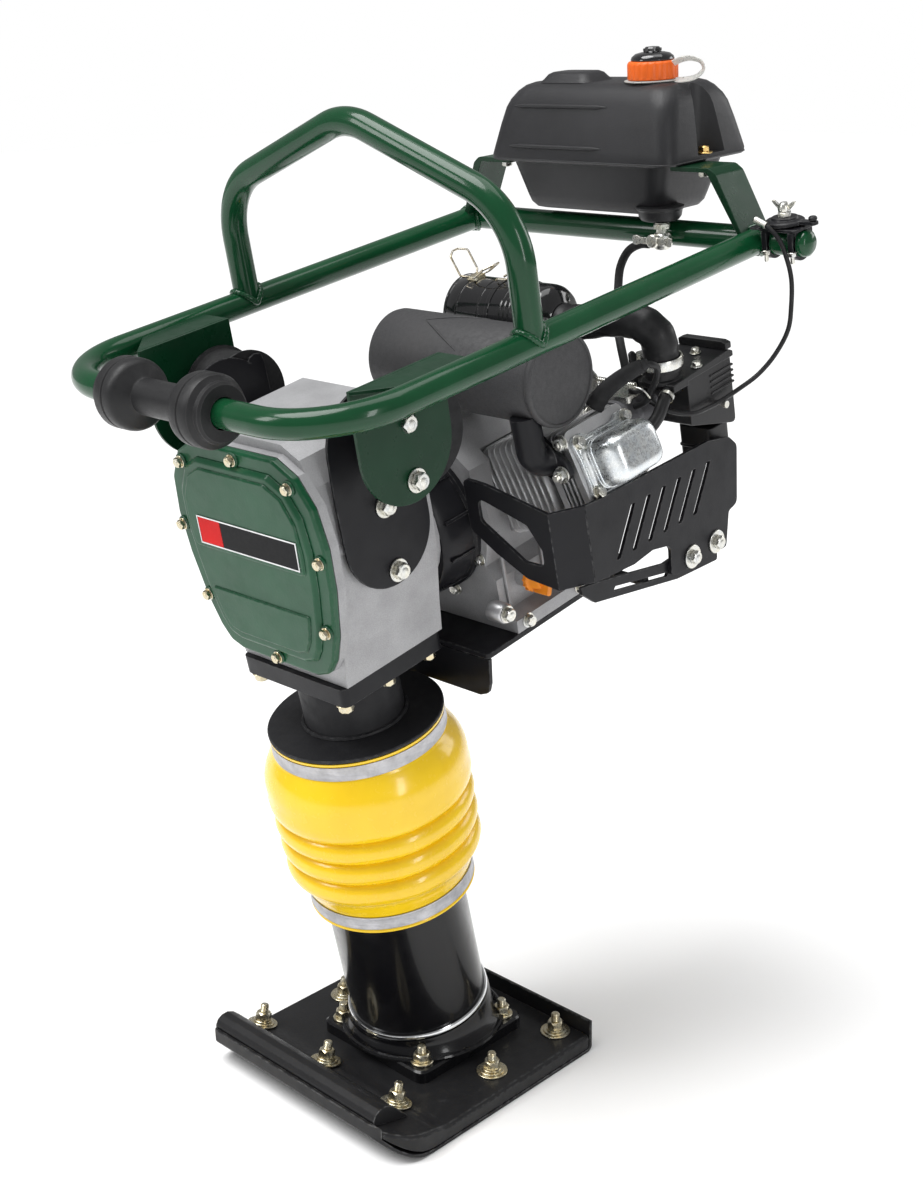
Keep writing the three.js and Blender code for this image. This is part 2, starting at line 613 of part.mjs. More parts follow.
function intakeElbow() {
  const start = 84 + GAP;
  const path = smooth([
    [start, FILTER_Y, FILTER_Z], [106, 302, FILTER_Z + 3], [142, 309, FILTER_Z + 8], [170, 317, FILTER_Z + 4],
    [ELBOW_X - 1, 321, FILTER_Z - 10], [ELBOW_X, ELBOW_Y, 738], [ELBOW_X, ELBOW_Y, NECK_TOP + GAP],
  ]);
  const beyond = box(ELBOW_X - 40, ELBOW_X + 40, 280, 360, 690, NECK_TOP + GAP);
  return cut(bar(path, ELBOW_R, 14, 12), box(40, start, 240, 380, 700, 850), beyond);
}

// Intake box behind the carburettor, stepped at its back, with a resonator hanging from its rear end.
function airBox() {
  const profile = shapeOf([
    [330, 660], [402, 636], [402, 716], [394, 716], [394, 710], [330, 710],
  ]);
  const body = prism(profile, 152, 212, 'x');
  const neck = moved(rod(ELBOW_R, 690, NECK_TOP, 'z', 16), ELBOW_X, ELBOW_Y, 0);
  const resonator = box(160, 204, 366, 400, 604, 660);
  return join(body, neck, resonator);
}

function carburettor() {
  const face = CYLINDER_Y + 50 + 1;
  const throat = moved(rod(18, face, 329.7, 'y', 16), 158, 0, 678);
  const bowl = moved(rod(19, 628, 676, 'z', 16), 158, 300, 0);
  const deck = box(134, 180, face + 14, 318, 690, 704);
  const inlet = moved(rod(4, 126, 142, 'x', 8), 0, 300, 650);
  const neckRoom = moved(rod(ELBOW_R + GAP + 0.5, 680, 730, 'z', 16), ELBOW_X, ELBOW_Y, 0);
  return cut(join(throat, bowl, deck, inlet), neckRoom);
}

function chokeLever() {
  const arm = moved(box(-4, 4, -2, 2, 0, 34), 172, 295, 706);
  return join(arm, moved(rod(7, 704.3, 712, 'z', BORE), 172, 295, 0));
}

// Plug boot standing on the head, leaning back and out.
function sparkPlugCap() {
  const lean = smooth([[168, 232, 716], [176, 240, 726], [186, 250, 735], [198, 260, 742]]);
  return cut(bar(lean, 8.5, 6, 12), onCylinder(box(120, 210, 150, 300, -60, 42 + GAP)));
}

function starterHousing() {
  const shroud = lathe([
    [0, BLOCK_BACK + GAP], [100, BLOCK_BACK + GAP], [100, 322], [88, 334], [84, 366], [72, 374], [0, 374],
  ], 'y');
  const seat = box(-12, 12, 330, 378, 632, 652);
  return join(moved(shroud, 0, 0, CRANK_Z), seat);
}

function starterGrip() {
  const grip = lathe([[0, -34], [8, -34], [10, -26], [9, 0], [10, 26], [8, 34], [0, 34]], 'x', 16);
  return moved(grip, 0, 392, 642);
}

function starterRope() {
  return moved(rod(2, 378.3, 382.6, 'y', 8), 0, 0, 642);
}

// Folded guard plate round the cylinder: wing across the front, louvred panel down the side.
function engineGuard() {
  const t = 4, out = 211;
  const plan = shapeOf([
    [82, 128], [190, 128], [out, 158], [out, 400],
    [out - t, 400], [out - t, 159], [188, 128 + t], [82, 128 + t],
  ]);
  const side = shapeOf([
    [110, 664], [160, 648], [176, 645], [352, 635], [386, 626], [398, 613], [389, 550], [374, 547],
    [364, 510], [281, 516], [271, 520], [275, 552], [247, 559.5], [217, 557.5], [155, 566], [110, 578],
  ]);
  const blank = common(prism(plan, 480, 690, 'z'), prism(side, 60, 230, 'x'));
  const slots = [];
  for (let k = 0; k < 6; k += 1) {
    const y = 349 - 24.5 * k, z = 614 + 1.2 * k;
    slots.push(prism(shapeOf([[y - 3, z], [y + 4, z], [y - 28, z - 47], [y - 35, z - 47]]), 195, 225, 'x'));
  }
  const wingCorner = prism(shapeOf([[60, 570], [150, 570], [60, 620]]), 100, 140, 'y');
  const opening = shapeOf([[100, 646], [158, 629], [174, 606], [174, 590], [150, 590], [100, 624]]);
  const window = prism(opening, 100, 140, 'y');
  return cut(blank, ...slots, wingCorner, window);
}

// Brace from the base plate up to the guard's rear bolts.
function guardStay() {
  const truss = shapeOf([
    [142, 558], [158, 542], [285, 508], [352, 499], [356, 532],
    [300, 534], [266, 534], [170, 560], [142, 566],
  ]);
  const hole = shapeOf([[200, 541], [268, 522], [268, 526], [200, 545]]);
  const web = cut(prism(truss, 202.7, 206.7, 'x'), prism(hole, 190, 220, 'x'));
  const foot = box(112.5, 206.7, 232, 246, 524, 528);
  const leg = box(112.5, 116.5, 232, 246, BASE_Z + 2, 528);
  return join(web, foot, leg);
}

function engineBasePlate() {
  const deck = prism(roundedRect(-104, 112, 93, 330, 6), BASE_Z - 7, BASE_Z - GAP, 'z', 2);
  const face = shapeOf([[-104, 487], [112, 487], [107, 455], [102, 443], [90, 438], [-90, 438], [-102, 446]]);
  const lip = prism(face, 93.5, 98, 'y');
  return join(deck, lip);
}

function oilDipstick() {
  const head = lathe([[0, 104.3], [14, 104.3], [14, 110], [11, 112], [10, 122], [0, 124]], 'x', 16);
  return moved(join(head, box(112, 130, -3, 3, -12, 12)), 0, 178, 538);
}

function buildEngine() {
  add(machine, 'engine_crankcase', engineCrankcase(), ALLOY, 0.5, 0.5);
  add(machine, 'cylinder_fins', cylinderFins(), 0x6a6a6e, 0.5, 0.6);
  add(machine, 'cylinder_head', cylinderHead(), ALLOY, 0.45, 0.6);
  add(machine, 'valve_cover', valveCover(), CHROME, 0.2, 1.0);
  add(machine, 'exhaust_pipe', exhaustPipe(), BLACK_PAINT, 0.6, 0.3);
  add(machine, 'muffler', muffler(), 0x4a4a4e, 0.7, 0.2);
  add(machine, 'air_filter', airFilter(), BLACK_PAINT, 0.2, 0.2);
  add(machine, 'filter_clip', filterClip(), STEEL, 0.3, 0.9);
  add(machine, 'intake_elbow', intakeElbow(), RUBBER, 0.4, 0.0);
  add(machine, 'air_box', airBox(), PLASTIC, 0.5, 0.0);
  add(machine, 'carburettor', carburettor(), STEEL, 0.4, 0.8);
  add(machine, 'choke_lever', chokeLever(), PLASTIC, 0.5, 0.0);
  add(machine, 'spark_plug_cap', sparkPlugCap(), RUBBER, 0.6, 0.0);
  add(machine, 'starter_housing', starterHousing(), BLACK_PAINT, 0.4, 0.2);
  add(machine, 'starter_grip', starterGrip(), PLASTIC, 0.6, 0.0);
  add(machine, 'starter_rope', starterRope(), 0x303030, 0.9, 0.0);
  add(machine, 'engine_guard', engineGuard(), BLACK_PAINT, 0.45, 0.3);
  add(machine, 'guard_stay', guardStay(), BLACK_PAINT, 0.45, 0.3);
  add(machine, 'engine_base_plate', engineBasePlate(), BLACK_PAINT, 0.45, 0.3);
  add(machine, 'oil_dipstick', oilDipstick(), 0xe8821a, 0.5, 0.0);
}

// ---- handle frame, tank and controls ----

// One bent tube: front bar and both sides, up to the cross tube.
function handleLoop(radius) {
  const loop = new BentRoute([
    [-HANDLE_X, CROSS_Y, HANDLE_Z], [-HANDLE_X, BAR_Y, HANDLE_Z], [HANDLE_X, BAR_Y, HANDLE_Z],
    [HANDLE_X, CROSS_Y, HANDLE_Z],
  ], BEND_R);
  return bar(loop, radius, loop.steps);
}

function crossTube(radius) {
  return moved(rod(radius, -HANDLE_X - 6, CROSS_END, 'x', BORE), 0, CROSS_Y, HANDLE_Z);
}

function liftingHoop() {
  const foot = HANDLE_Z + 2;
  const path = new BentRoute([
    [-HANDLE_X, HOOP_Y, foot], [-HANDLE_X, HOOP_Y, HOOP_CORNER_Z], [0, HOOP_Y, HOOP_APEX_Z],
    [HANDLE_X, HOOP_Y, HOOP_CORNER_Z], [HANDLE_X, HOOP_Y, foot],
  ], HOOP_BEND_R);
  return cut(bar(path, TUBE_R, path.steps), handleLoop(TUBE_R + GAP));
}

// Brings a shape given on the handle frame into the tank's own frame.
function toTank(geometry) {
  return geometry.translate(0, -TANK_Y, -TANK_RIM_Z).rotateX(TANK_TILT);
}

// Right-hand strap: up from the side tube, leaning in, with a tab under the tank's rim.
function tankStrap() {
  const t = 5, top = -RIM_T / 2 - GAP, low = -78, lean = 0.12;
  const profile = shapeOf([
    [HANDLE_X, low], [169, top - 7], [160, top], [112, top], [112, top - t], [156, top - t],
    [HANDLE_X - t - 2, low],
  ]);
  const shear = new THREE.Matrix4().makeShear(0, 0, 0, 0, 0, lean);
  const strap = prism(profile, 20, 68, 'y').applyMatrix4(shear);
  return cut(strap, toTank(handleLoop(TUBE_R + GAP)), toTank(crossTube(TUBE_R + GAP)));
}

// Rounded rectangle ring for the tank, in plan, at one height.
function tankRing(x, y0, y1, r, z) {
  const points = roundedRect(-x, x, y0, y1, r).getPoints(3);
  const first = points[0], last = points[points.length - 1];
  if (first.distanceTo(last) < 1e-6) points.pop();
  return points.map((p) => [p.x, p.y, z]);
}

// Moulded tank: a lower tub, a wider upper shell, a low bump and a bolt pocket at each end.
function fuelTank() {
  const half = RIM_T / 2;
  const body = loft([
    tankRing(86, 28, 112, 14, -56), tankRing(92, 21, 119, 18, -49), tankRing(105, 12, 130, 20, -half - 0.2),
    tankRing(RIM_X, 0, RIM_DEPTH, 12, -half), tankRing(RIM_X, 0, RIM_DEPTH, 12, half),
    tankRing(112, 17, 125, 20, 58), tankRing(106, 23, 119, 22, 69), tankRing(92, 36, 106, 18, CAP_Z),
  ]);
  const bump = moved(loft([tankRing(34, 36, 84, 12, 70), tankRing(25, 44, 76, 10, CAP_Z + 10)]), -44, 0, 0);
  const neck = moved(rod(20, 68, CAP_Z + 21, 'z', 16), CAP_X, CAP_DEPTH, 0);
  const sump = moved(rod(13, -62, -44, 'z', 16), TAP_X - 2, TAP_DEPTH, 0);
  const pocket = prism(shapeOf([[88, 74], [150, 36], [150, 112]]), half, 100);
  return cut(join(body, bump, neck, sump), pocket, mirrored(pocket));
}

function fuelCap() {
  const base = CAP_Z + 2.3;
  const skirt = lathe([
    [20.4, base], [26.5, base], [26.5, base + 18], [20, base + 25], [10, base + 26], [9, base + 32],
    [0, base + 33], [0, CAP_Z + 21.3], [20.4, CAP_Z + 21.3], [20.4, base],
  ], 'z', 20);
  return moved(skirt, CAP_X, CAP_DEPTH, 0);
}

// Tether: a collar round the filler neck with a strap looping up to the cap.
function capTether() {
  const z = CAP_Z + 1.2;
  const collar = ring(30, 20.5, z - 0.7, z + 0.7, 'z', 16);
  const strap = bar(smooth([
    [28.8, 0, z + 1], [38, 0, z + 2], [50, 2, z + 6], [54, 3, z + 14], [46, 3, z + 21], [34, 1, z + 20],
    [27.6, 0, z + 17],
  ]), 1.5, 16, 8);
  return moved(join(collar, strap), CAP_X, CAP_DEPTH, 0);
}

// Petcock under the sump, with its barb to the left.
function fuelTap() {
  const stem = rod(7, -73, -62.3, 'z', BORE);
  const body = rod(9.5, -90, -72, 'z', 16);
  const spindle = moved(rod(6, -14, -6, 'y', BORE), 0, 0, -79);
  const barb = moved(rod(3.4, -17, -5, 'x', 8), 0, 0, -86);
  return moved(join(stem, body, spindle, barb), TAP_X, TAP_DEPTH, 0);
}

function tapLever() {
  const hub = rod(7, -19, -14.3, 'y', BORE);
  const wings = join(box(-24, 24, -17.5, -15, -4, 4), hub);
  return moved(wings, TAP_X, TAP_DEPTH, -79);
}

const HOSE_ROUTE = [
  [79.7, 419.9, 816.9], [68, 419.5, 816], [52, 418, 808], [44, 412, 792], [47, 401, 771], [60, 382, 757],
  [80, 356, 747], [99, 336, 733], [109, 328, 714], [113, 325, 694], [112, 312, 676], [110, 294, 664],
  [116, 275.5, 661.2], [125.2, 273.6, 661.6],
];

function fuelHose() {
  return bar(smooth(HOSE_ROUTE), 4.6, 26, 8);
}

// Plate over the cross tube's end, held by two saddles.
function throttleClamp() {
  const top = HANDLE_Z + TUBE_R;
  const plate = box(LEVER_X - 21, LEVER_X + 24, CROSS_Y - 18, CROSS_Y + 18, top + GAP, top + 4);
  const saddle = ring(TUBE_R + 4, TUBE_R + GAP, 0, 6, 'x', BORE);
  const saddles = [LEVER_X - 17, LEVER_X + 14].map((x) => moved(saddle, x, CROSS_Y, HANDLE_Z));
  return join(plate, ...saddles);
}

function throttleLever() {
  const base = HANDLE_Z + TUBE_R + 4 + GAP;
  const disc = rod(20, base, base + 8, 'z', 20);
  const knob = lathe([
    [0, base + 7], [8, base + 7], [8, base + 15], [5, base + 22], [0, base + 24],
  ], 'z', BORE);
  const arm = box(8, 36, -6, 6, base + 2, base + 8);
  return moved(join(disc, knob, arm), LEVER_X, CROSS_Y, 0);
}

const CABLE_ROUTE = [
  [212, 425.5, 850], [225, 425.5, 845], [240, 426, 831], [248, 426, 812], [252, 426, 792], [251, 425, 765],
  [247, 423, 740], [236, 413, 715], [227, 395, 699], [219, 371, 690], [217.5, 345, 687], [217.5, 322, 687],
  [217, 298, 689], [210, 282, 694], [198, 272, 701], [188, 270, 706], [180.8, 270, 708],
];

function throttleCable() {
  return bar(smooth(CABLE_ROUTE), 2.4, 32, 8);
}

// Dumbbell roller on the front bar.
function transportRoller() {
  const half = [[17, 0], [17, 34], [31, 42], [33.5, 46], [33.5, 68], [28, 71], [27, 79], [14.6, 79]];
  const profile = [...half.map(([r, x]) => [r, -x]).reverse(), ...half.slice(1), [14.6, -79]];
  return moved(lathe(profile, 'x', 24), ROLLER_X, BAR_Y, HANDLE_Z);
}

function buildHandle() {
  add(handle, 'handle_frame', join(handleLoop(TUBE_R), crossTube(TUBE_R)), FRAME_GREEN, 0.25, 0.3);
  add(handle, 'lifting_hoop', liftingHoop(), FRAME_GREEN, 0.25, 0.3);
  add(tank, 'right_tank_strap', tankStrap(), FRAME_GREEN, 0.3, 0.3);
  add(tank, 'left_tank_strap', mirrored(tankStrap()), FRAME_GREEN, 0.3, 0.3);
  add(tank, 'fuel_tank', fuelTank(), PLASTIC, 0.45, 0.0);
  add(tank, 'fuel_cap', fuelCap(), 0xe0601e, 0.4, 0.0);
  add(tank, 'cap_tether', capTether(), 0xd8d8d4, 0.4, 0.0);
  add(tank, 'fuel_tap', fuelTap(), CHROME, 0.35, 0.9);
  add(tank, 'tap_lever', tapLever(), CHROME, 0.35, 0.9);
  add(handle, 'fuel_hose', fuelHose(), RUBBER, 0.6, 0.0);
  add(handle, 'throttle_clamp', throttleClamp(), BLACK_PAINT, 0.4, 0.4);
  add(handle, 'throttle_lever', throttleLever(), BLACK_PAINT, 0.4, 0.4);
  add(handle, 'throttle_cable', throttleCable(), RUBBER, 0.5, 0.0);
  add(handle, 'transport_roller', transportRoller(), PLASTIC, 0.5, 0.0);
}

buildLeg();
buildGearbox();
buildSuspension();
buildEngine();
buildHandle();

export default model;
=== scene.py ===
"""Looks of a jumping jack rammer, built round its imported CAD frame.

Sizes are millimetres in one of four frames: GROUND, MACHINE (leg, gearbox and engine, which lean forward),
HANDLE (tubes, which lean a little less) and TANK (level with the ground, nearly). Each frame turns them
into metres.
"""
from math import atan2, cos, hypot, pi, radians, sin, sqrt, tan

import bmesh
import bpy
from mathutils import Matrix, Vector
from mathutils.geometry import tessellate_polygon


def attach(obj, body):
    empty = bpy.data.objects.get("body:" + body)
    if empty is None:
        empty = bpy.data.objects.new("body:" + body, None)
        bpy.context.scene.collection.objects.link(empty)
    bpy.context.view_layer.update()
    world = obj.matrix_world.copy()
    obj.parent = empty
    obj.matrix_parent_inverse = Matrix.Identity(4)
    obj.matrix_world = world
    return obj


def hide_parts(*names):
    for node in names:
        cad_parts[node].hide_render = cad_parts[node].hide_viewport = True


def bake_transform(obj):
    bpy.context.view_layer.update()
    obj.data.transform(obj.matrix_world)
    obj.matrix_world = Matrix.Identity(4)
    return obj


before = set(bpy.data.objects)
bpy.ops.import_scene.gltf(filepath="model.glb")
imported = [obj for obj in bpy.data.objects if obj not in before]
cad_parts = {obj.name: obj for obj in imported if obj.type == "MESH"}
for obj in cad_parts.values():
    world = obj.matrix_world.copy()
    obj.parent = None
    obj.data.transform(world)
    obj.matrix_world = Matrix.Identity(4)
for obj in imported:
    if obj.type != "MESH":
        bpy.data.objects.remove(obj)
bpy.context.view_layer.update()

MM = 0.001
MACHINE_LEAN, HANDLE_LEAN = radians(11.65), radians(9.34)
PIVOT = Matrix.Translation((0, 40.6 * MM, 0))
GROUND = Matrix.Scale(MM, 4)
MACHINE = PIVOT @ Matrix.Rotation(MACHINE_LEAN, 4, "X") @ GROUND
HANDLE = PIVOT @ Matrix.Rotation(HANDLE_LEAN, 4, "X") @ GROUND
TANK_AT = (0, 404, 905)
TANK = HANDLE @ Matrix.Translation(TANK_AT) @ Matrix.Rotation(radians(-6), 4, "X")


# ---- camera, floor and light ----

def make_camera():
    azimuth, elevation, roll = radians(44.847), radians(18.784), radians(-1.242)
    back = Vector((sin(azimuth) * cos(elevation), -cos(azimuth) * cos(elevation), sin(elevation)))
    level = Vector((cos(azimuth), sin(azimuth), 0))
    up = back.cross(level)
    right = level * cos(roll) + up * sin(roll)
    up = up * cos(roll) - level * sin(roll)
    turn = Matrix((right, up, back)).transposed().to_4x4()
    data = bpy.data.cameras.new("camera")
    data.lens = 50.556
    data.clip_start, data.clip_end = 0.02, 60
    camera = bpy.data.objects.new("camera", data)
    camera.matrix_world = Matrix.Translation((1.2076, -1.1047, 1.0959)) @ turn
    bpy.context.collection.objects.link(camera)
    bpy.context.scene.camera = camera


def area_light(name, place, target, size, power, colour=(1, 1, 1)):
    data = bpy.data.lights.new(name, "AREA")
    data.shape = "RECTANGLE"
    data.size, data.size_y = size
    data.energy = power
    data.color = colour
    light = bpy.data.objects.new(name, data)
    light.location = place
    light.rotation_euler = (Vector(target) - Vector(place)).to_track_quat("-Z", "Y").to_euler()
    bpy.context.collection.objects.link(light)


def make_studio():
    floor = bpy.data.meshes.new("floor")
    reach = 14
    corners = [(-reach, -reach, 0), (reach, -reach, 0), (reach, reach, 0), (-reach, reach, 0)]
    floor.from_pydata(corners, [], [(0, 1, 2, 3)])
    floor.materials.append(plain_floor())
    ground = bpy.data.objects.new("floor", floor)
    bpy.context.collection.objects.link(ground)
    world = bpy.data.worlds.new("studio")
    world.use_nodes = True
    sky = world.node_tree.nodes["Background"]
    seen = world.node_tree.nodes.new("ShaderNodeLightPath").outputs["Is Camera Ray"]
    strength = world.node_tree.nodes.new("ShaderNodeMapRange")
    strength.inputs["To Min"].default_value, strength.inputs["To Max"].default_value = 0.32, 1.0
    world.node_tree.links.new(seen, strength.inputs["Value"])
    world.node_tree.links.new(strength.outputs[0], sky.inputs["Strength"])
    sky.inputs["Color"].default_value = (1, 1, 1, 1)
    bpy.context.scene.world = world
    bpy.context.scene.view_settings.view_transform = "Standard"
    middle = (0, 0.08, 0.55)
    area_light("key", (-1.4, -2.4, 2.4), middle, (0.8, 1.2), 22)
    area_light("side", (2.7, -0.5, 1.4), middle, (0.4, 1.6), 16)
    area_light("top", (0.2, 0.5, 3.0), middle, (1.4, 1.4), 14)
    area_light("back", (1.0, 2.8, 1.8), middle, (1.2, 1.2), 14)
    sun = bpy.data.lights.new("sky_sun", "SUN")
    sun.energy, sun.angle = 3.0, radians(40)
    overhead = bpy.data.objects.new("sky_sun", sun)
    overhead.rotation_euler = (radians(18), radians(-12), 0)
    bpy.context.collection.objects.link(overhead)


# ---- materials ----

def shade(colour, factor):
    return tuple(min(1.0, c * factor) for c in colour)


class Nodes:
    """A material's node tree with a Principled shader, wired by short calls."""

    def __init__(self, name, coat=0.0, specular=0.5):
        self.material = bpy.data.materials.new(name)
        self.material.use_nodes = True
        self.tree = self.material.node_tree
        self.shader = self.tree.nodes["Principled BSDF"]
        self.shader.inputs["Coat Weight"].default_value = coat
        self.shader.inputs["Coat Roughness"].default_value = 0.06
        self.shader.inputs["Specular IOR Level"].default_value = specular
        self.place = self.tree.nodes.new("ShaderNodeTexCoord").outputs["Object"]

    def node(self, kind, **inputs):
        made = self.tree.nodes.new(kind)
        for key, value in inputs.items():
            self.feed(made.inputs[key.replace("_", " ")], value)
        return made

    def feed(self, socket, value):
        if isinstance(value, bpy.types.NodeSocket):
            self.tree.links.new(value, socket)
        elif isinstance(value, tuple) and socket.type == "RGBA":
            socket.default_value = (*value, 1)
        else:
            socket.default_value = value

    def stretched(self, scale):
        return self.node("ShaderNodeMapping", Vector=self.place, Scale=scale).outputs[0]

    def noise(self, scale, detail=3.0, rough=0.55, place=None):
        source = self.place if place is None else place
        made = self.node("ShaderNodeTexNoise", Vector=source, Scale=scale, Detail=detail, Roughness=rough)
        return made.outputs["Fac"]

    def cells(self, scale):
        return self.node("ShaderNodeTexVoronoi", Vector=self.place, Scale=scale).outputs["Distance"]

    def spread(self, value, low, high, start=0.3, end=0.7):
        keys = {"Value": value, "From_Min": start, "From_Max": end, "To_Min": low, "To_Max": high}
        return self.node("ShaderNodeMapRange", **keys).outputs[0]

    def mix(self, part, first, second):
        made = self.tree.nodes.new("ShaderNodeMix")
        made.data_type = "RGBA"
        self.feed(made.inputs[0], part)
        self.feed(made.inputs[6], first)
        self.feed(made.inputs[7], second)
        return made.outputs[2]

    def edges(self, width, start=0.04, end=0.3):
        """1 along sharp edges, 0 on flat and gently curved faces."""
        soft = self.node("ShaderNodeBevel", Radius=width * MM).outputs[0]
        sharp = self.tree.nodes.new("ShaderNodeNewGeometry").outputs["Normal"]
        away = self.tree.nodes.new("ShaderNodeVectorMath")
        away.operation = "DISTANCE"
        self.feed(away.inputs[0], soft)
        self.feed(away.inputs[1], sharp)
        return self.spread(away.outputs["Value"], 0.0, 1.0, start, end)

    def times(self, a, b):
        made = self.tree.nodes.new("ShaderNodeMath")
        made.operation = "MULTIPLY"
        self.feed(made.inputs[0], a)
        self.feed(made.inputs[1], b)
        return made.outputs[0]

    def look(self, colour, rough, metal=0.0):
        self.feed(self.shader.inputs["Base Color"], colour)
        self.feed(self.shader.inputs["Roughness"], rough)
        self.feed(self.shader.inputs["Metallic"], metal)

    def bump(self, *layers):
        """Each layer is (height, distance in mm)."""
        normal = None
        for height, distance in layers:
            made = self.node("ShaderNodeBump", Height=height, Distance=distance * MM)
            if normal is not None:
                self.feed(made.inputs["Normal"], normal)
            normal = made.outputs[0]
        self.feed(self.shader.inputs["Normal"], normal)


def paint(name, colour, gloss=0.28, peel=0.06, coat=0.5, worn=0.35, specular=0.2):
    """Sprayed paint: orange peel, slight cloudiness and paler edges."""
    n = Nodes(name, coat=coat, specular=specular)
    cloud = n.spread(n.noise(14), 0, 1)
    body = n.mix(cloud, shade(colour, 0.86), shade(colour, 1.14))
    rub = n.times(n.edges(1.4), n.times(n.spread(n.noise(160), 0, 1, 0.42, 0.62), worn))
    bare = tuple(c * 0.4 + 0.2 for c in colour)
    n.look(n.mix(rub, body, bare), n.spread(n.noise(60), gloss * 0.8, gloss * 1.3), 0.0)
    n.bump((n.noise(420, 2), peel), (n.noise(1600, 2), peel * 0.2))
    return n.material


def casting(name, colour, rough=0.42, grain=0.28, metal=0.85):
    """Bead-blasted alloy casting."""
    n = Nodes(name)
    cloud = n.spread(n.noise(22, 5), 0, 1)
    fine = n.spread(n.noise(900, 3), 0, 1)
    base = n.mix(cloud, shade(colour, 0.84), shade(colour, 1.12))
    n.look(n.mix(n.times(fine, 0.3), base, shade(colour, 0.7)), n.spread(fine, rough, rough + 0.2), metal)
    n.bump((n.noise(700, 4, 0.7), grain), (n.cells(1300), grain * 0.3))
    return n.material


def metal(name, colour, rough=0.25, brushed=(1, 1, 1), worn=0.0):
    """Turned, drawn or plated metal. brushed stretches its fine scratches."""
    n = Nodes(name)
    streak = n.noise(1.0, 3, 0.6, n.stretched(tuple(900 * b for b in brushed)))
    cloud = n.spread(n.noise(70, 4), 0, 1)
    tone = n.mix(cloud, shade(colour, 0.78), shade(colour, 1.15))
    dirt = n.times(n.spread(n.noise(240, 4), 0, 1, 0.5, 0.75), worn)
    n.look(n.mix(dirt, tone, shade(colour, 0.35)), n.spread(streak, rough * 0.7, rough * 1.5), 1.0)
    n.bump((streak, 0.03))
    return n.material


def zinc(name, colour, tint):
    """Passivated zinc plate, with its drifting tint."""
    n = Nodes(name)
    drift = n.spread(n.noise(110, 3), 0, 1, 0.35, 0.65)
    n.look(n.mix(drift, colour, tint), n.spread(n.noise(420), 0.2, 0.42), 1.0)
    n.bump((n.noise(900, 3), 0.04))
    return n.material


def plastic(name, colour, rough=0.45, grain=0.08, scale=1500, coat=0.0, specular=0.3):
    """Moulded plastic with a fine spark-eroded texture."""
    n = Nodes(name, coat=coat, specular=specular)
    cloud = n.spread(n.noise(18, 4), 0, 1)
    rub = n.times(n.edges(1.2), 0.25)
    base = n.mix(cloud, shade(colour, 0.85), shade(colour, 1.18))
    n.look(n.mix(rub, base, tuple(c * 0.6 + 0.09 for c in colour)),
           n.spread(n.noise(300), rough * 0.85, rough * 1.15))
    n.bump((n.cells(scale), grain), (n.noise(90, 2), grain))
    return n.material


def rubber(name, colour, rough=0.6):
    n = Nodes(name, specular=0.25)
    bloom = n.spread(n.noise(45, 5), 0, 1, 0.35, 0.75)
    dust = n.times(bloom, 0.35)
    n.look(n.mix(dust, colour, tuple(c * 0.8 + 0.03 for c in colour)),
           n.spread(n.noise(260), rough, rough + 0.2))
    n.bump((n.noise(1300, 3), 0.06), (n.noise(180, 2), 0.08))
    return n.material


def bellows_yellow(name):
    """Glossy urethane with faint flow marks."""
    n = Nodes(name, coat=0.35)
    flow = n.noise(1.0, 3, 0.5, n.stretched((26, 26, 8)))
    body = n.mix(n.spread(flow, 0, 1), (0.88, 0.56, 0.006), (0.95, 0.63, 0.010))
    n.look(body, n.spread(n.noise(120), 0.16, 0.3))
    n.bump((n.noise(45, 2), 0.3), (n.noise(700, 2), 0.02))
    return n.material


def heat_paint(name):
    """Dull black exhaust paint with a fine rough grain."""
    n = Nodes(name)
    warm = n.spread(n.noise(12, 4), 0, 1)
    speck = n.spread(n.noise(800, 2), 0, 1)
    base = n.mix(warm, (0.030, 0.030, 0.033), (0.048, 0.047, 0.048))
    n.look(n.mix(n.times(speck, 0.5), base, (0.075, 0.075, 0.078)), n.spread(n.noise(200), 0.48, 0.68), 0.15)
    n.bump((n.noise(900, 3), 0.12))
    return n.material


def clear_plastic(name):
    n = Nodes(name)
    n.shader.inputs["Transmission Weight"].default_value = 0.55
    n.look(n.mix(n.spread(n.noise(90), 0, 1), (0.78, 0.79, 0.76), (0.90, 0.90, 0.86)),
           n.spread(n.noise(300), 0.25, 0.4))
    n.bump((n.noise(700, 2), 0.03))
    return n.material


def plain_floor():
    n = Nodes("pale_floor", specular=0.15)
    n.look(n.mix(n.spread(n.noise(2.0), 0, 1), (0.93, 0.93, 0.93), (0.95, 0.95, 0.95)), 0.7)
    return n.material


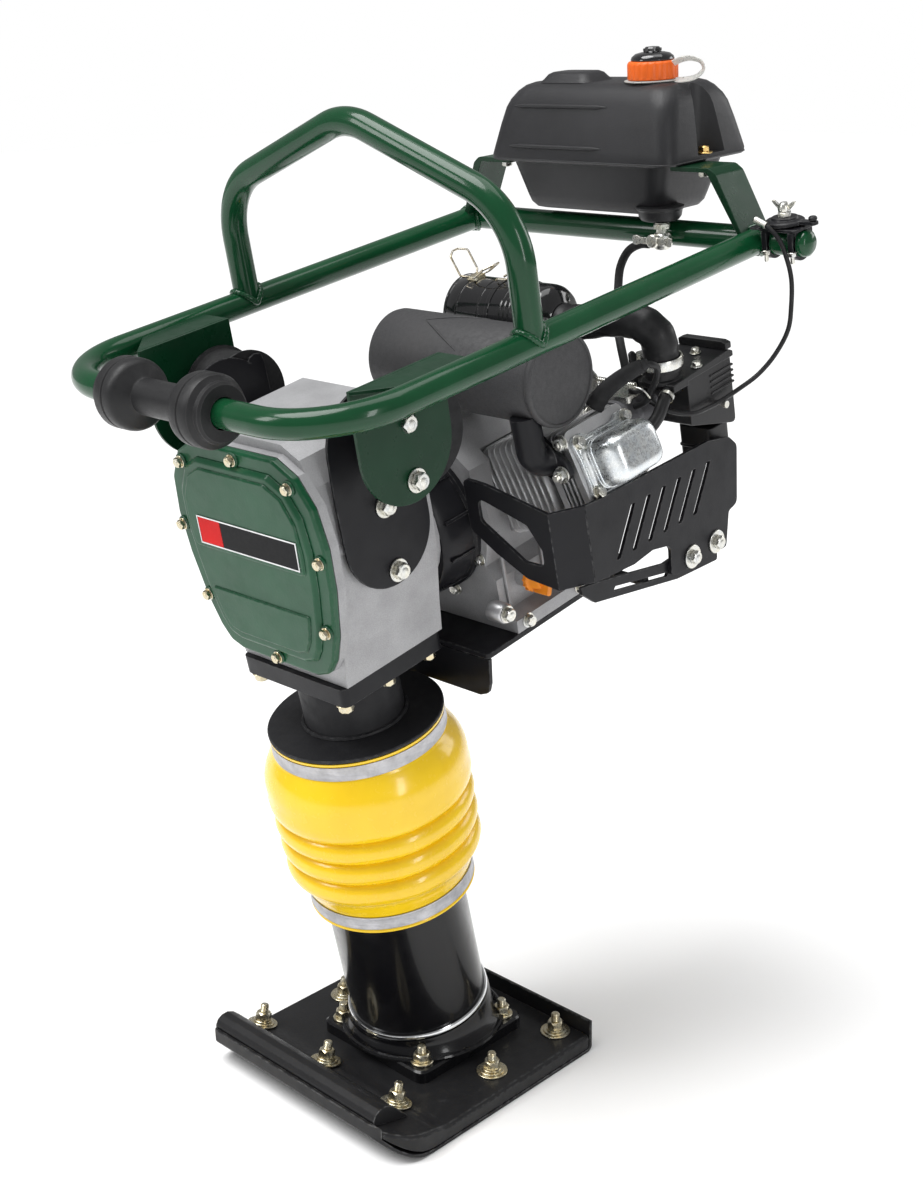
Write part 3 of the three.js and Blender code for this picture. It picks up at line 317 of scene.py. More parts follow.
M = {made.name: made for made in (
    paint("black_paint", (0.010, 0.010, 0.012), gloss=0.36, coat=0.03, specular=0.18),
    paint("black_gloss", (0.005, 0.005, 0.006), gloss=0.2, peel=0.05, coat=0.3, worn=0.1),
    paint("foot_paint", (0.013, 0.013, 0.014), gloss=0.42, peel=0.14, coat=0.1, worn=0.5),
    paint("frame_green", (0.004, 0.052, 0.018), gloss=0.2, coat=0.35, worn=0.12),
    # The frame green, painted darker for the flat hanger plates and tank straps. This is painted shade for
    # the dim reflections on their flat faces, not a paint of their own.
    paint("shade_darkened_green", (0.002, 0.030, 0.011), gloss=0.3, coat=0.05, worn=0.12),
    paint("cover_green", (0.008, 0.072, 0.030), gloss=0.36, peel=0.12, coat=0.25, worn=0.4),
    casting("alloy", (0.40, 0.40, 0.41), 0.5, 0.3, 0.45),
    casting("dark_alloy", (0.17, 0.17, 0.18), 0.42, 0.22, 0.8),
    casting("bright_alloy", (0.62, 0.62, 0.63), 0.32, 0.12, 0.95),
    metal("steel", (0.40, 0.40, 0.41), 0.3, (1, 1, 0.1), 0.3),
    metal("chrome", (0.78, 0.79, 0.80), 0.12),
    zinc("zinc_pressing", (0.64, 0.68, 0.71), (0.72, 0.74, 0.74)),
    zinc("zinc", (0.62, 0.63, 0.62), (0.70, 0.68, 0.60)),
    zinc("gold_zinc", (0.64, 0.55, 0.36), (0.60, 0.58, 0.48)),
    zinc("brass", (0.75, 0.55, 0.22), (0.66, 0.42, 0.15)),
    plastic("tank_plastic", (0.020, 0.020, 0.022), 0.40, 0.10),
    plastic("black_plastic", (0.012, 0.012, 0.013), 0.38, 0.05),
    plastic("gloss_plastic", (0.008, 0.008, 0.009), 0.12, 0.01, coat=0.8),
    plastic("roller_plastic", (0.014, 0.014, 0.015), 0.42, 0.06),
    plastic("orange_plastic", (0.78, 0.13, 0.012), 0.38, 0.04),
    plastic("dip_orange", (0.80, 0.25, 0.015), 0.42, 0.05),
    paint("satin_black", (0.020, 0.020, 0.022), gloss=0.5, peel=0.1, coat=0.0, worn=0.3),
    metal("band_steel", (0.46, 0.46, 0.48), 0.42, (0.06, 0.06, 1), 0.2),
    casting("fin_alloy", (0.56, 0.56, 0.57), 0.34, 0.14, 0.75),
    zinc("clip_wire", (0.72, 0.70, 0.64), (0.66, 0.56, 0.38)),
    metal("badge_silver", (0.75, 0.75, 0.76), 0.3),
    plastic("badge_black", (0.004, 0.004, 0.005), 0.4, 0.01, specular=0.1),
    plastic("badge_red", (0.62, 0.006, 0.006), 0.4, 0.01, specular=0.1),
    clear_plastic("tether_plastic"),
    rubber("rubber", (0.012, 0.012, 0.013)),
    rubber("gloss_rubber", (0.009, 0.009, 0.010), 0.32),
    bellows_yellow("bellows_yellow"),
    heat_paint("heat_paint"),
)}

NODE_LOOKS = {
    "black_paint": "guide_flange clutch_housing left_mount_plate right_mount_plate engine_guard guard_stay "
                   "engine_base_plate exhaust_pipe starter_housing throttle_clamp throttle_lever",
    "black_gloss": "leg_tube",
    "foot_paint": "sole_plate shoe_body leg_flange",
    "frame_green": "handle_frame lifting_hoop",
    # Plates and straps take the frame green, darkened as painted shade.
    "shade_darkened_green": "left_hanger_plate right_hanger_plate left_tank_strap right_tank_strap",
    "cover_green": "front_cover",
    "alloy": "gearbox_housing engine_crankcase",
    "dark_alloy": "cylinder_fins cylinder_head",
    "bright_alloy": "carburettor",
    "steel": "lower_band upper_band spring_retainer guide_cylinder ram_piston upper_spring lower_spring "
             "crank_gear connecting_rod clutch_drum",
    "chrome": "leg_ring valve_cover",
    "zinc": "filter_clip fuel_tap tap_lever",
    "tank_plastic": "fuel_tank air_box",
    "black_plastic": "choke_lever starter_grip",
    "gloss_plastic": "air_filter",
    "roller_plastic": "transport_roller",
    "orange_plastic": "fuel_cap",
    "dip_orange": "oil_dipstick",
    "tether_plastic": "cap_tether",
    "rubber": "left_rubber_drum right_rubber_drum spark_plug_cap starter_rope fuel_hose throttle_cable",
    "gloss_rubber": "intake_elbow",
    "bellows_yellow": "bellows",
    "heat_paint": "muffler",
}


def dress_cad_nodes():
    for look, names in NODE_LOOKS.items():
        for name in names.split():
            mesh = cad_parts[name].data
            mesh.materials.clear()
            mesh.materials.append(M[look])


# ---- shapes: each is (vertices, faces) of one closed skin, in millimetres ----

def laid(axis, u, v, w):
    """A point with w along the axis and (u, v) across it: YZ for x, XZ for y, XY for z."""
    return {"x": (w, u, v), "y": (u, w, v), "z": (u, v, w)}[axis]


def revolve(profile, axis="z", at=(0, 0, 0), n=56):
    """Turns [radius, height] points round an axis. Heights may be functions of the point across the axis."""
    rings, verts, faces = [], [], []
    for r, h in profile:
        count = 1 if r < 1e-6 else n
        ring = []
        for k in range(count):
            u, v = r * cos(2 * pi * k / n), r * sin(2 * pi * k / n)
            ring.append(len(verts))
            verts.append(Vector(laid(axis, u, v, h(u, v) if callable(h) else h)) + Vector(at))
        rings.append(ring)
    pairs = list(zip(rings, rings[1:]))
    if len(rings[0]) > 1:
        pairs.append((rings[-1], rings[0]))
    for a, b in pairs:
        for k in range(n):
            j = (k + 1) % n
            quad = [a[k % len(a)], a[j % len(a)], b[j % len(b)], b[k % len(b)]]
            face = list(dict.fromkeys(quad))
            if len(face) > 2:
                faces.append(face)
    return verts, faces


def fillet(points, radius, steps=4, closed=True):
    """Rounds the corners of a flat outline. radius is one number, or one for each corner."""
    out, count = [], len(points)
    for i, p in enumerate(points):
        r = radius[i] if isinstance(radius, (list, tuple)) else radius
        here = Vector(p)
        back, ahead = Vector(points[i - 1]) - here, Vector(points[(i + 1) % count]) - here
        ends = not closed and i in (0, count - 1)
        if ends or r <= 0 or back.length < 1e-6 or ahead.length < 1e-6 or back.angle(ahead) > pi - 0.03:
            out.append(tuple(here))
            continue
        reach = min(r / tan(back.angle(ahead) / 2), 0.49 * back.length, 0.49 * ahead.length)
        start, end = here + back.normalized() * reach, here + ahead.normalized() * reach
        for k in range(steps + 1):
            t = k / steps
            out.append(tuple(start * (1 - t) ** 2 + here * 2 * t * (1 - t) + end * t * t))
    return out


def arc(cu, cv, r, start, end, steps=16):
    """Points on an arc, angles in degrees."""
    turn = [radians(start + (end - start) * k / steps) for k in range(steps + 1)]
    return [(cu + r * cos(a), cv + r * sin(a)) for a in turn]


def rect(u0, u1, v0, v1, r=0.0, steps=4):
    return fillet([(u0, v0), (u1, v0), (u1, v1), (u0, v1)], r, steps)


def prism(outline, a, b, axis="z", holes=()):
    """Extrudes a flat outline, with holes if any, from a to b along the axis."""
    loops = [list(outline), *[list(h) for h in holes]]
    flat = [p for loop in loops for p in loop]
    n = len(flat)
    verts = [Vector(laid(axis, u, v, w)) for w in (a, b) for u, v in flat]
    if holes:
        triangles = tessellate_polygon([[Vector((u, v, 0)) for u, v in loop] for loop in loops])
        faces = [list(t) for t in triangles] + [[i + n for i in t] for t in triangles]
    else:
        faces = [list(range(n)), list(range(n, 2 * n))]
    start = 0
    for loop in loops:
        m = len(loop)
        faces += [(start + i, start + (i + 1) % m, start + (i + 1) % m + n, start + i + n) for i in range(m)]
        start += m
    return verts, faces


def loft(rings, closed=False):
    """A skin over rings of points, as many in each, capped at its ends unless it closes on itself."""
    n, count = len(rings[0]), len(rings)
    verts = [Vector(p) for ring in rings for p in ring]
    faces = []
    for k in range(count if closed else count - 1):
        a, b = k * n, (k + 1) % count * n
        faces += [(a + i, a + (i + 1) % n, b + (i + 1) % n, b + i) for i in range(n)]
    if not closed:
        faces += [list(range(n)), list(range((count - 1) * n, count * n))]
    return verts, faces


def layered(outlines, axis="z"):
    """Lofts flat outlines, each (outline, height along the axis)."""
    return loft([[laid(axis, u, v, h) for u, v in outline] for outline, h in outlines])


def block(x0, x1, y0, y1, z0, z1, r=0.0):
    return prism(rect(x0, x1, y0, y1, r), z0, z1)


def tube(path, radius, n=20, closed=False, section=None):
    """Sweeps a circle, or a flat section, along a path. radius may depend on the share travelled."""
    points = [Vector(p) for p in path]
    last = len(points) - 1
    circle = section or [(cos(2 * pi * k / n), sin(2 * pi * k / n)) for k in range(n)]
    rings, normal = [], None
    for i, p in enumerate(points):
        before = points[i - 1] if closed or i else p
        after = points[(i + 1) % len(points)] if closed or i < last else p
        ahead = (after - before).normalized()
        if normal is None:
            normal = ahead.orthogonal().normalized()
        normal = (normal - ahead * normal.dot(ahead)).normalized()
        side = ahead.cross(normal)
        r = radius(i / last) if callable(radius) else radius
        rings.append([p + (normal * u + side * v) * r for u, v in circle])
    return loft(rings, closed)


def bent(corners, radius, steps=12):
    """Straights joined by arcs."""
    p = [Vector(c) for c in corners]
    out = [p[0]]
    for before, corner, after in zip(p, p[1:], p[2:]):
        come, leave = (corner - before).normalized(), (after - corner).normalized()
        turn = come.angle(leave)
        pivot_axis = come.cross(leave).normalized()
        start = corner - come * radius * tan(turn / 2)
        centre = start + pivot_axis.cross(come) * radius
        for k in range(steps + 1):
            out.append(centre + Matrix.Rotation(turn * k / steps, 3, pivot_axis) @ (start - centre))
    return out + [p[-1]]


def smooth(points, per=8):
    """A centripetal curve through the points."""
    p = [Vector(q) for q in points]
    p = [p[0] * 2 - p[1], *p, p[-1] * 2 - p[-2]]
    out = []
    for quad in zip(p, p[1:], p[2:], p[3:]):
        t = [0.0]
        for u, v in zip(quad, quad[1:]):
            t.append(t[-1] + sqrt((v - u).length))
        for k in range(per):
            x = t[1] + (t[2] - t[1]) * k / per
            level = list(quad)
            for depth in (1, 2, 3):
                for i in range(4 - depth):
                    lo, hi = (t[i], t[i + depth]) if depth < 3 else (t[1], t[2])
                    level[i] = level[i] * ((hi - x) / (hi - lo)) + level[i + 1] * ((x - lo) / (hi - lo))
            out.append(level[0])
    return out + [p[-2]]


def ring_path(r, axis="z", at=(0, 0, 0), n=96, height=None):
    """A closed circle of points; height may depend on the point across the axis."""
    out = []
    for k in range(n):
        u, v = r * cos(2 * pi * k / n), r * sin(2 * pi * k / n)
        out.append(Vector(laid(axis, u, v, height(u, v) if height else 0.0)) + Vector(at))
    return out


def weld(path, radius=2.4, ripples=28):
    """A closed weld bead with its scales."""
    return tube(path, lambda s: radius * (1 + 0.16 * abs(sin(pi * ripples * s))), n=8, closed=True)


def aimed(at, normal):
    """Places a shape made on +Z at a point, along a direction."""
    return Matrix.Translation(at) @ Vector(normal).to_track_quat("Z", "Y").to_matrix().to_4x4()


def placed(matrix, *shapes):
    return [([matrix @ Vector(v) for v in verts], faces) for verts, faces in shapes]


def mirrored(shapes):
    return [([Vector((-v[0], v[1], v[2])) for v in verts], faces) for verts, faces in shapes]


def hexagon(size, z, height, z_mid):
    """Chamfered hexagonal head: size is half its width over the corners."""
    def ring(corner, middle, low, high):
        return [(r * cos(pi * k / 6), r * sin(pi * k / 6), h)
                for k, (r, h) in enumerate([(corner, low), (middle, high)] * 6)]
    flat = size * cos(pi / 6)
    return loft([ring(size, flat, z, z), ring(size, flat, z + height * z_mid, z + height * 0.96),
                 ring(flat * 0.93, flat * 0.93, z + height, z + height)])


def disc(radius, z0, z1, edge=0.4, n=32):
    return revolve([[0, z0], [radius - edge, z0], [radius, z0 + edge], [radius, z1 - edge],
                    [radius - edge, z1], [0, z1]],
                   n=n)


def threads(radius, z0, z1, pitch=1.3):
    profile = [[0, z0], [radius * 0.93, z0]]
    count = int((z1 - z0) / pitch)
    for k in range(count):
        z = z0 + (z1 - z0 - 0.6) * k / count
        profile += [[radius, z + 0.5 * pitch], [radius * 0.92, z + 0.98 * pitch]]
    return revolve([*profile, [radius * 0.8, z1], [0, z1]], n=20)


def bolt(at, normal, size=7.0, height=5.0, washer=0.0, thick=1.5, stud=0.0):
    """Hex head or nut on a washer, with its stud end if it has one."""
    shapes, z = [], 0.0
    if washer:
        shapes.append(disc(washer, 0, thick))
        z = thick + 0.05
    shapes.append(disc(size * 0.86, z, z + 0.7, 0.2))
    shapes.append(hexagon(size, z + 0.75, height, 0.74))
    top = z + 0.75 + height
    if stud:
        shapes.append(threads(size * 0.52, top + 0.05, top + stud))
    else:
        shapes.append(revolve([[0, top + 0.05], [size * 0.5, top + 0.05], [size * 0.45, top + 0.3],
                               [0, top + 0.3]], n=20))
    return placed(aimed(at, normal), *shapes)


# ---- pieces ----

def piece(name, shapes, look, stands_for=(), place=MACHINE, body="machine", bevel=0.0, segments=2, crease=38):
    """One object from closed shapes, riding a CAD body unless it has none. stands_for names CAD nodes."""
    verts, faces = [], []
    for shape_verts, shape_faces in shapes:
        base = len(verts)
        verts += [place @ Vector(v) for v in shape_verts]
        faces += [[base + i for i in face] for face in shape_faces]
    mesh = bpy.data.meshes.new(name)
    mesh.from_pydata(verts, [], faces)
    tidy = bmesh.new()
    tidy.from_mesh(mesh)
    bmesh.ops.recalc_face_normals(tidy, faces=tidy.faces)
    tidy.to_mesh(mesh)
    tidy.free()
    mesh.materials.append(M[look])
    mesh.shade_smooth()
    if not bevel:
        mesh.set_sharp_from_angle(angle=radians(crease))
    thing = bpy.data.objects.new(name, mesh)
    bpy.context.collection.objects.link(thing)
    if bevel:
        soften(thing, bevel, segments)
    if body:
        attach(thing, body)
    if stands_for:
        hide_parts(*stands_for)
    return thing


def soften(thing, width, segments=2, angle=35):
    made = thing.modifiers.new("edges", "BEVEL")
    made.width = width * MM
    made.segments = segments
    made.limit_method = "ANGLE"
    made.angle_limit = radians(angle)
    made.harden_normals = True
    made.use_clamp_overlap = True


# ---- foot and leg ----

FOOT_HALF, FOOT_REACH = 150.5, 151.5
SOLE = 4.0
FLANGE_Y, FLANGE_HALF, FLANGE_TOP = 33.0, 81, 35.2
FLAT_END = -92
LEG_R = 75.5


def foot_width(y, inset=0.0):
    """Left and right edge of the foot at y: cropped at the left front, round at the right front."""
    from_tip = max(0.0, y + FOOT_REACH)
    left = -FOOT_HALF + max(0.0, 7 - from_tip)
    r = 42.0
    right = FOOT_HALF if from_tip >= r else FOOT_HALF - r + sqrt(r * r - (r - from_tip) ** 2)
    return left + inset, right - inset


def ski(t):
    """Underside of the turned-up front, from the flat (t = 0) to the tip (t = 1)."""
    a, b, c = Vector((FLAT_END, 0)), Vector((-132, 0)), Vector((-FOOT_REACH, 28))
    return a * (1 - t) ** 2 + b * 2 * t * (1 - t) + c * t * t


def sole_plate():
    """Pressed sheet with its lip at the front and its rim at the back."""
    e, corner = FOOT_REACH, 7
    line = [Vector((-e, 42)), Vector((-e, 34))] + [ski(k / 12) for k in range(12, -1, -1)]
    line += [Vector((y, 0)) for y in (-40, 40, e - corner)]
    line += [Vector(p) for p in arc(e - corner, corner, corner, -75, 0, 5)] + [Vector((e, 38.5))]
    rings = []
    for i, p in enumerate(line):
        ahead = (line[min(i + 1, len(line) - 1)] - line[max(i - 1, 0)]).normalized()
        inner = p + Vector((-ahead.y, ahead.x)) * SOLE
        left, right = foot_width(p.x)
        left_in, right_in = foot_width(inner.x)
        rings.append([(left, p.x, p.y), (right, p.x, p.y), (right_in, inner.x, inner.y),
                      (left_in, inner.x, inner.y)])
    return loft(rings)


def shoe_height(y):
    """Top of the filled shoe without its roll."""
    if y > FLAT_END:
        return 20.5 + 4.5 * max(0.0, (-70 - y) / 22) ** 2
    return 25 + 13 * ((FLAT_END - y) / 55) ** 1.3


def shoe():
    back, front = FOOT_REACH - SOLE - 0.5, -FOOT_REACH + SOLE + 0.5
    stations = [back, back - 6, 60, 0, -60] + [-70 - 77 * k / 14 for k in range(14)] + [front]
    rings = []
    for y in stations:
        t = max(0.0, (FLAT_END - y) / (FLAT_END - front))
        low = ski(t * 0.96).y + SOLE + 0.4 if t else SOLE + 0.3
        top = max(shoe_height(y), low + 2)
        left, right = foot_width(y, 1.0)
        skirt = top - 3.2
        rings.append([(left, y, low), (right, y, low), (right, y, skirt), (right - 3.2, y, top),
                      (left + 3.2, y, top), (left, y, skirt)])
    return loft(rings)


def toe_roll():
    """Half-round bar along the front edge, which stops short of the round corner."""
    over = [(-147, 39), (-147, 44), (-144, 50), (-138, 53.5), (-130, 54), (-122, 50.5), (-114, 43),
            (-108, 35.5), (-101, 29.4)]
    under = [(y, shoe_height(y) + 0.25) for y in (-100, -108, -118, -128, -138, -146)]
    return prism(fillet(over, 4, 3, closed=False) + under, -147.5, 113, "x")


def slanted(extra=0.0):
    """Height along the leg at which it meets the level flange."""
    return lambda u, v: (FLANGE_TOP + extra - sin(MACHINE_LEAN) * v) / cos(MACHINE_LEAN)


def build_foot():
    piece("sole_sheet", [sole_plate()], "foot_paint", ["sole_plate"], place=GROUND, body="leg", bevel=1.0)
    piece("shoe_pad", [shoe()], "foot_paint", ["shoe_body"], place=GROUND, body="leg", bevel=1.2)
    piece("toe_roll", [toe_roll()], "foot_paint", ["shoe_body"], place=GROUND, body="leg", bevel=0.8)
    half, low, high = FLANGE_HALF, FLANGE_Y - FLANGE_HALF, FLANGE_Y + FLANGE_HALF
    plate = layered([(rect(-half, half, low, high, 14, 8), 20.9), (rect(-half, half, low, high, 14, 8), 33),
                     (rect(2 - half, half - 2, low + 2, high - 2, 13, 8), 35)])
    piece("foot_flange", [plate], "black_gloss", ["leg_flange"], place=GROUND, body="leg")
    nuts, washers = [], []
    tilt = (0, 0.24, 0.97)
    spots = [((x, FLAT_END, 26.2), tilt) for x in (-134, -25, 87)]
    spots += [((x, y, 20.7), (0, 0, 1)) for x, y in ((116, 24), (116, 128), (-116, 18), (-116, 128))]
    for at, normal in spots:
        washers += placed(aimed(at, normal), disc(17, 0, 1.6), disc(13.5, 1.7, 3.1))
        lifted = Vector(at) + Vector(normal).normalized() * 3.2
        nuts += bolt(lifted, normal, 9.2, 8.5, 10.2, 1.8, 9)
    for x in (-63, 63):
        for y in (-30, 96):
            nuts += bolt((x, y, 35.1), (0, 0, 1), 9.6, 8.5, 12.5, 2.4, 8)
    piece("foot_nuts", nuts, "gold_zinc", place=GROUND, body="leg")
    piece("foot_washers", washers, "gold_zinc", place=GROUND, body="leg")


def leg_cup():
    """Spring cylinder with the collar that the bellows clamps on, cut to the flange at its foot."""
    r, inner, collar = LEG_R, 69.5, 84
    foot = slanted()
    return revolve([
        [0, foot], [r, foot], [r, 69.4], [r - 0.8, 70.2], [r - 0.8, 75.6], [r, 76.4], [r, 222],
        [r + 1.5, 225.5], [collar - 1, 227], [collar, 228], [collar, 248], [collar - 1, 249], [r, 249],
        [r, 395], [inner, 395], [inner, 57], [inner - 3, 55], [0, 55],
    ], n=96)


def bellows_profile():
    """Outer line from the lower lip up: four round ribs between sharp creases, and a deep shoulder."""
    line = [(89, 227.3), (90, 228.2), (90, 230.4), (88.2, 231.6), (88.2, 246.9), (90.5, 251), (93.8, 259.5),
            (96.4, 268)]
    creases = [(96.4, 268), (97.2, 295.5), (97.6, 321.5), (98.6, 347.5)]
    for (r0, z0), (r1, z1) in zip(creases, creases[1:]):
        swell = 8.6
        for k in range(1, 12):
            t = k / 12
            line.append((r0 + (r1 - r0) * t + swell * sin(pi * t) ** 0.62, z0 + (z1 - z0) * t))
        line.append((r1, z1))
    line += [(103.2, 350), (106.0, 354), (107.6, 360), (108.0, 367), (107.4, 373), (107.0, 378), (107.2, 384),
             (106.2, 391), (103.4, 399), (98.6, 407.5), (92.6, 414.6), (90, 418)]
    return line + [(89.9, 434), (91.2, 434.7), (91.6, 435.6), (91.5, 437.5)]


def build_leg():
    foot, top = slanted(), slanted(7)
    piece("spring_cylinder", [leg_cup()], "black_gloss", ["leg_tube"], body="leg", crease=30)
    socket = revolve([[76.0, foot], [88, foot], [86.5, top], [81.5, slanted(12)], [80.2, lambda u, v: 66.0],
                      [79.4, 69.2], [76.0, 69.4]], n=96)
    piece("leg_socket", [socket], "black_gloss", body="leg", crease=50)
    bead = weld(ring_path(88.3, height=slanted(1.6), n=170), 2.6, 60)
    piece("socket_weld", [bead], "black_gloss", body="leg")
    bright = revolve([[76.0, 70.2], [78.2, 70.2], [79.3, 71.4], [79.3, 74.4], [78.0, 76.2], [76.0, 76.2]],
                     n=96)
    piece("bright_ring", [bright], "chrome", ["leg_ring"], body="leg")
    inner = [(86.4, 437.5), (86.4, 416), (98, 396), (96, 284), (84.4, 252), (84.4, 227.3)]
    skin = revolve(bellows_profile() + inner, n=120)
    cover = piece("bellows_skin", [skin], "bellows_yellow", ["bellows"], body=None, crease=60)
    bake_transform(cover)
    for name, body, r, z0, z1 in (("lower", "leg", 88.5, 231.8, 246.6),
                                  ("upper", "machine", 90.2, 418.2, 433.6)):
        middle = (z0 + z1) / 2
        strap = revolve([[r, z0], [r + 1.2, z0], [r + 1.5, z0 + 1], [r + 1.2, z0 + 2], [r + 1.2, z1 - 2],
                         [r + 1.5, z1 - 1], [r + 1.2, z1], [r, z1]], n=120)
        piece(f"{name}_strap", [strap], "band_steel", [f"{name}_band"], body=body)
        out = r + 1.8
        casing = prism(fillet([(-11, out), (11, out), (11, out + 5), (4, out + 9), (-8, out + 9)], 2.4),
                       z0 + 1.5, z1 - 1.5)
        screw = bolt((12, out + 4.6, middle), (1, 0, 0), 4.2, 6)
        tail = prism([(-30, out - 5.6), (-12, out - 0.9), (-12, out), (-30, out - 4.5)], z0 + 3, z1 - 3)
        piece(f"{name}_strap_screw", [casing, tail, *screw], "zinc", body=body, bevel=0.3)


def build_guide():
    disk = revolve([[32, 438], [90.6, 438], [92, 439.2], [92, 441], [91, 442], [53, 442], [52, 444],
                    [52, 503.5], [32, 503.5]], n=96)
    piece("bellows_disk", [disk], "satin_black", ["guide_flange"])
    bead = weld(ring_path(53.5, at=(0, 0, 443.2), n=120), 2.3, 44)
    piece("neck_weld", [bead], "satin_black")
    plate = prism(rect(-76, 76, -66, 69, 8, 5), 504, 523.8, holes=[arc(0, 0, 32, 0, 352.5, 47)])
    piece("bottom_plate", [plate], "black_paint", ["guide_flange"], bevel=1.4)
    screws = []
    for x in (-64, 64):
        for y in (-57, 0, 57):
            screws += bolt((x, y, 503.6), (0, 0, -1), 7.6, 7, 9.2, 1.8)
    piece("plate_bolts", screws, "gold_zinc")


# ---- gearbox ----

COVER_HALF = [(60, 765), (85, 751), (102, 723), (108, 684), (105, 640), (95, 590), (84, 562), (73, 547),
              (56, 541)]
COVER_CENTRE = 650


def cover_outline(inset=0.0, top=None, bottom=None, corner=10.0):
    """The cover's outline, drawn in by an inset and cut level at a height where one is given."""
    half = []
    for x, z in COVER_HALF:
        reach = hypot(x, z - COVER_CENTRE)
        pull = 1 - 1.15 * inset / reach
        half.append((x * pull, COVER_CENTRE + (z - COVER_CENTRE) * pull))
    def cut_at(points, level, keep_above):
        kept = []
        for (x0, z0), (x1, z1) in zip(points, points[1:]):
            if (z0 >= level) == keep_above:
                kept.append((x0, z0))
            if (z0 - level) * (z1 - level) < 0:
                kept.append((x0 + (x1 - x0) * (level - z0) / (z1 - z0), level))
        if (points[-1][1] >= level) == keep_above:
            kept.append(points[-1])
        return kept
    if top is not None:
        half = cut_at(half, top, False)
    if bottom is not None:
        half = cut_at(half, bottom, True)
    return fillet(half + [(-x, z) for x, z in reversed(half)], corner, 4)


COVER_SCREWS = [(79, 742), (101, 672), (88, 597)]


def build_cover():
    front = -76
    flange = layered([(cover_outline(0), -68.2), (cover_outline(0), front + 2), (cover_outline(2.2), front)],
                     "y")
    raised = layered([(cover_outline(13), front - 0.1), (cover_outline(17.5), front - 4.6)], "y")
    upper = layered([(cover_outline(22, bottom=655, corner=6), -80.7),
                     (cover_outline(24, bottom=656.5, corner=6), -82.8)], "y")
    lower = layered([(cover_outline(24, top=612, corner=6), -80.7),
                     (cover_outline(26, top=610.5, corner=6), -82.8)], "y")
    piece("cover_flange", [flange], "cover_green", ["front_cover"], bevel=0.8)
    piece("cover_dome", [raised], "cover_green", ["front_cover"], bevel=1.6, segments=3)
    piece("cover_panels", [upper, lower], "cover_green", ["front_cover"], bevel=0.7)
    spots = [(s * x, z) for x, z in COVER_SCREWS for s in (-1, 1)] + [(4, 757), (3, 549)]
    bosses, screws = [], []
    for x, z in spots:
        bosses += placed(aimed((x, front + 0.2, z), (0, -1, 0)), disc(7.4, 0, 2.6, 0.8))
        screws += bolt((x, front - 2.5, z), (0, -1, 0), 5.2, 3.6, 6.2, 0.9)
    piece("cover_bosses", bosses, "cover_green")
    piece("cover_screws", screws, "gold_zinc")
    z0, z1, y = 660.5, 690.5, -83.0
    frame_shape = prism([(-69, z0), (77, z0), (79.5, z1), (-67, z1)], y - 0.8, y, "y",
                        holes=[[(-67.6, z0 + 1.4), (75.8, z0 + 1.4), (77.9, z1 - 1.4), (-65.8, z1 - 1.4)]])
    field = prism([(-33.6, z0 + 1.6), (75.5, z0 + 1.6), (77.6, z1 - 1.6), (-31.8, z1 - 1.6)], y - 0.6,
                  y - 0.02, "y")
    cell = prism([(-67.3, z0 + 1.6), (-34.6, z0 + 1.6), (-32.8, z1 - 1.6), (-65.5, z1 - 1.6)], y - 0.6,
                 y - 0.02, "y")
    piece("badge_rim", [frame_shape], "badge_silver")
    piece("badge_field", [field], "badge_black")
    piece("badge_cell", [cell], "badge_red")


def build_housing():
    """The cast shell keeps its CAD mesh; screw lugs are added."""
    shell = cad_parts["gearbox_housing"]
    soften(shell, 1.2, 2, 30)
    lugs = []
    for x, z in COVER_SCREWS:
        side = atan2(z - COVER_CENTRE, x)
        inward = Vector((cos(side), 0, sin(side))) * 9
        lugs += placed(Matrix.Translation((x - inward.x, 0, z - inward.z)), revolve(
            [[0, -57.8], [6.8, -57.8], [6.2, -40], [4, -36], [0, -36]], "y", n=24))
    piece("screw_lugs", lugs + mirrored(lugs), "alloy")


# ---- rubber suspension ----

def mount_outline():
    top = [(60, 790), (58, 799), (50, 801), (43, 799), (40, 795)]
    rim = arc(6, 757.5, 52, 42, 175, 20)
    return [(60, 666)] + top + rim + [(-48, 720)] + arc(6, 666, 54, 180, 360, 24)[:-1]


def hanger_outline():
    y0, y1 = -81, 31
    middle = (y0 + y1) / 2
    return [(y1, 829.6), (y0, 829.6), (y0, 763)] + arc(middle, 763, 56, 180, 360, 28)[1:]


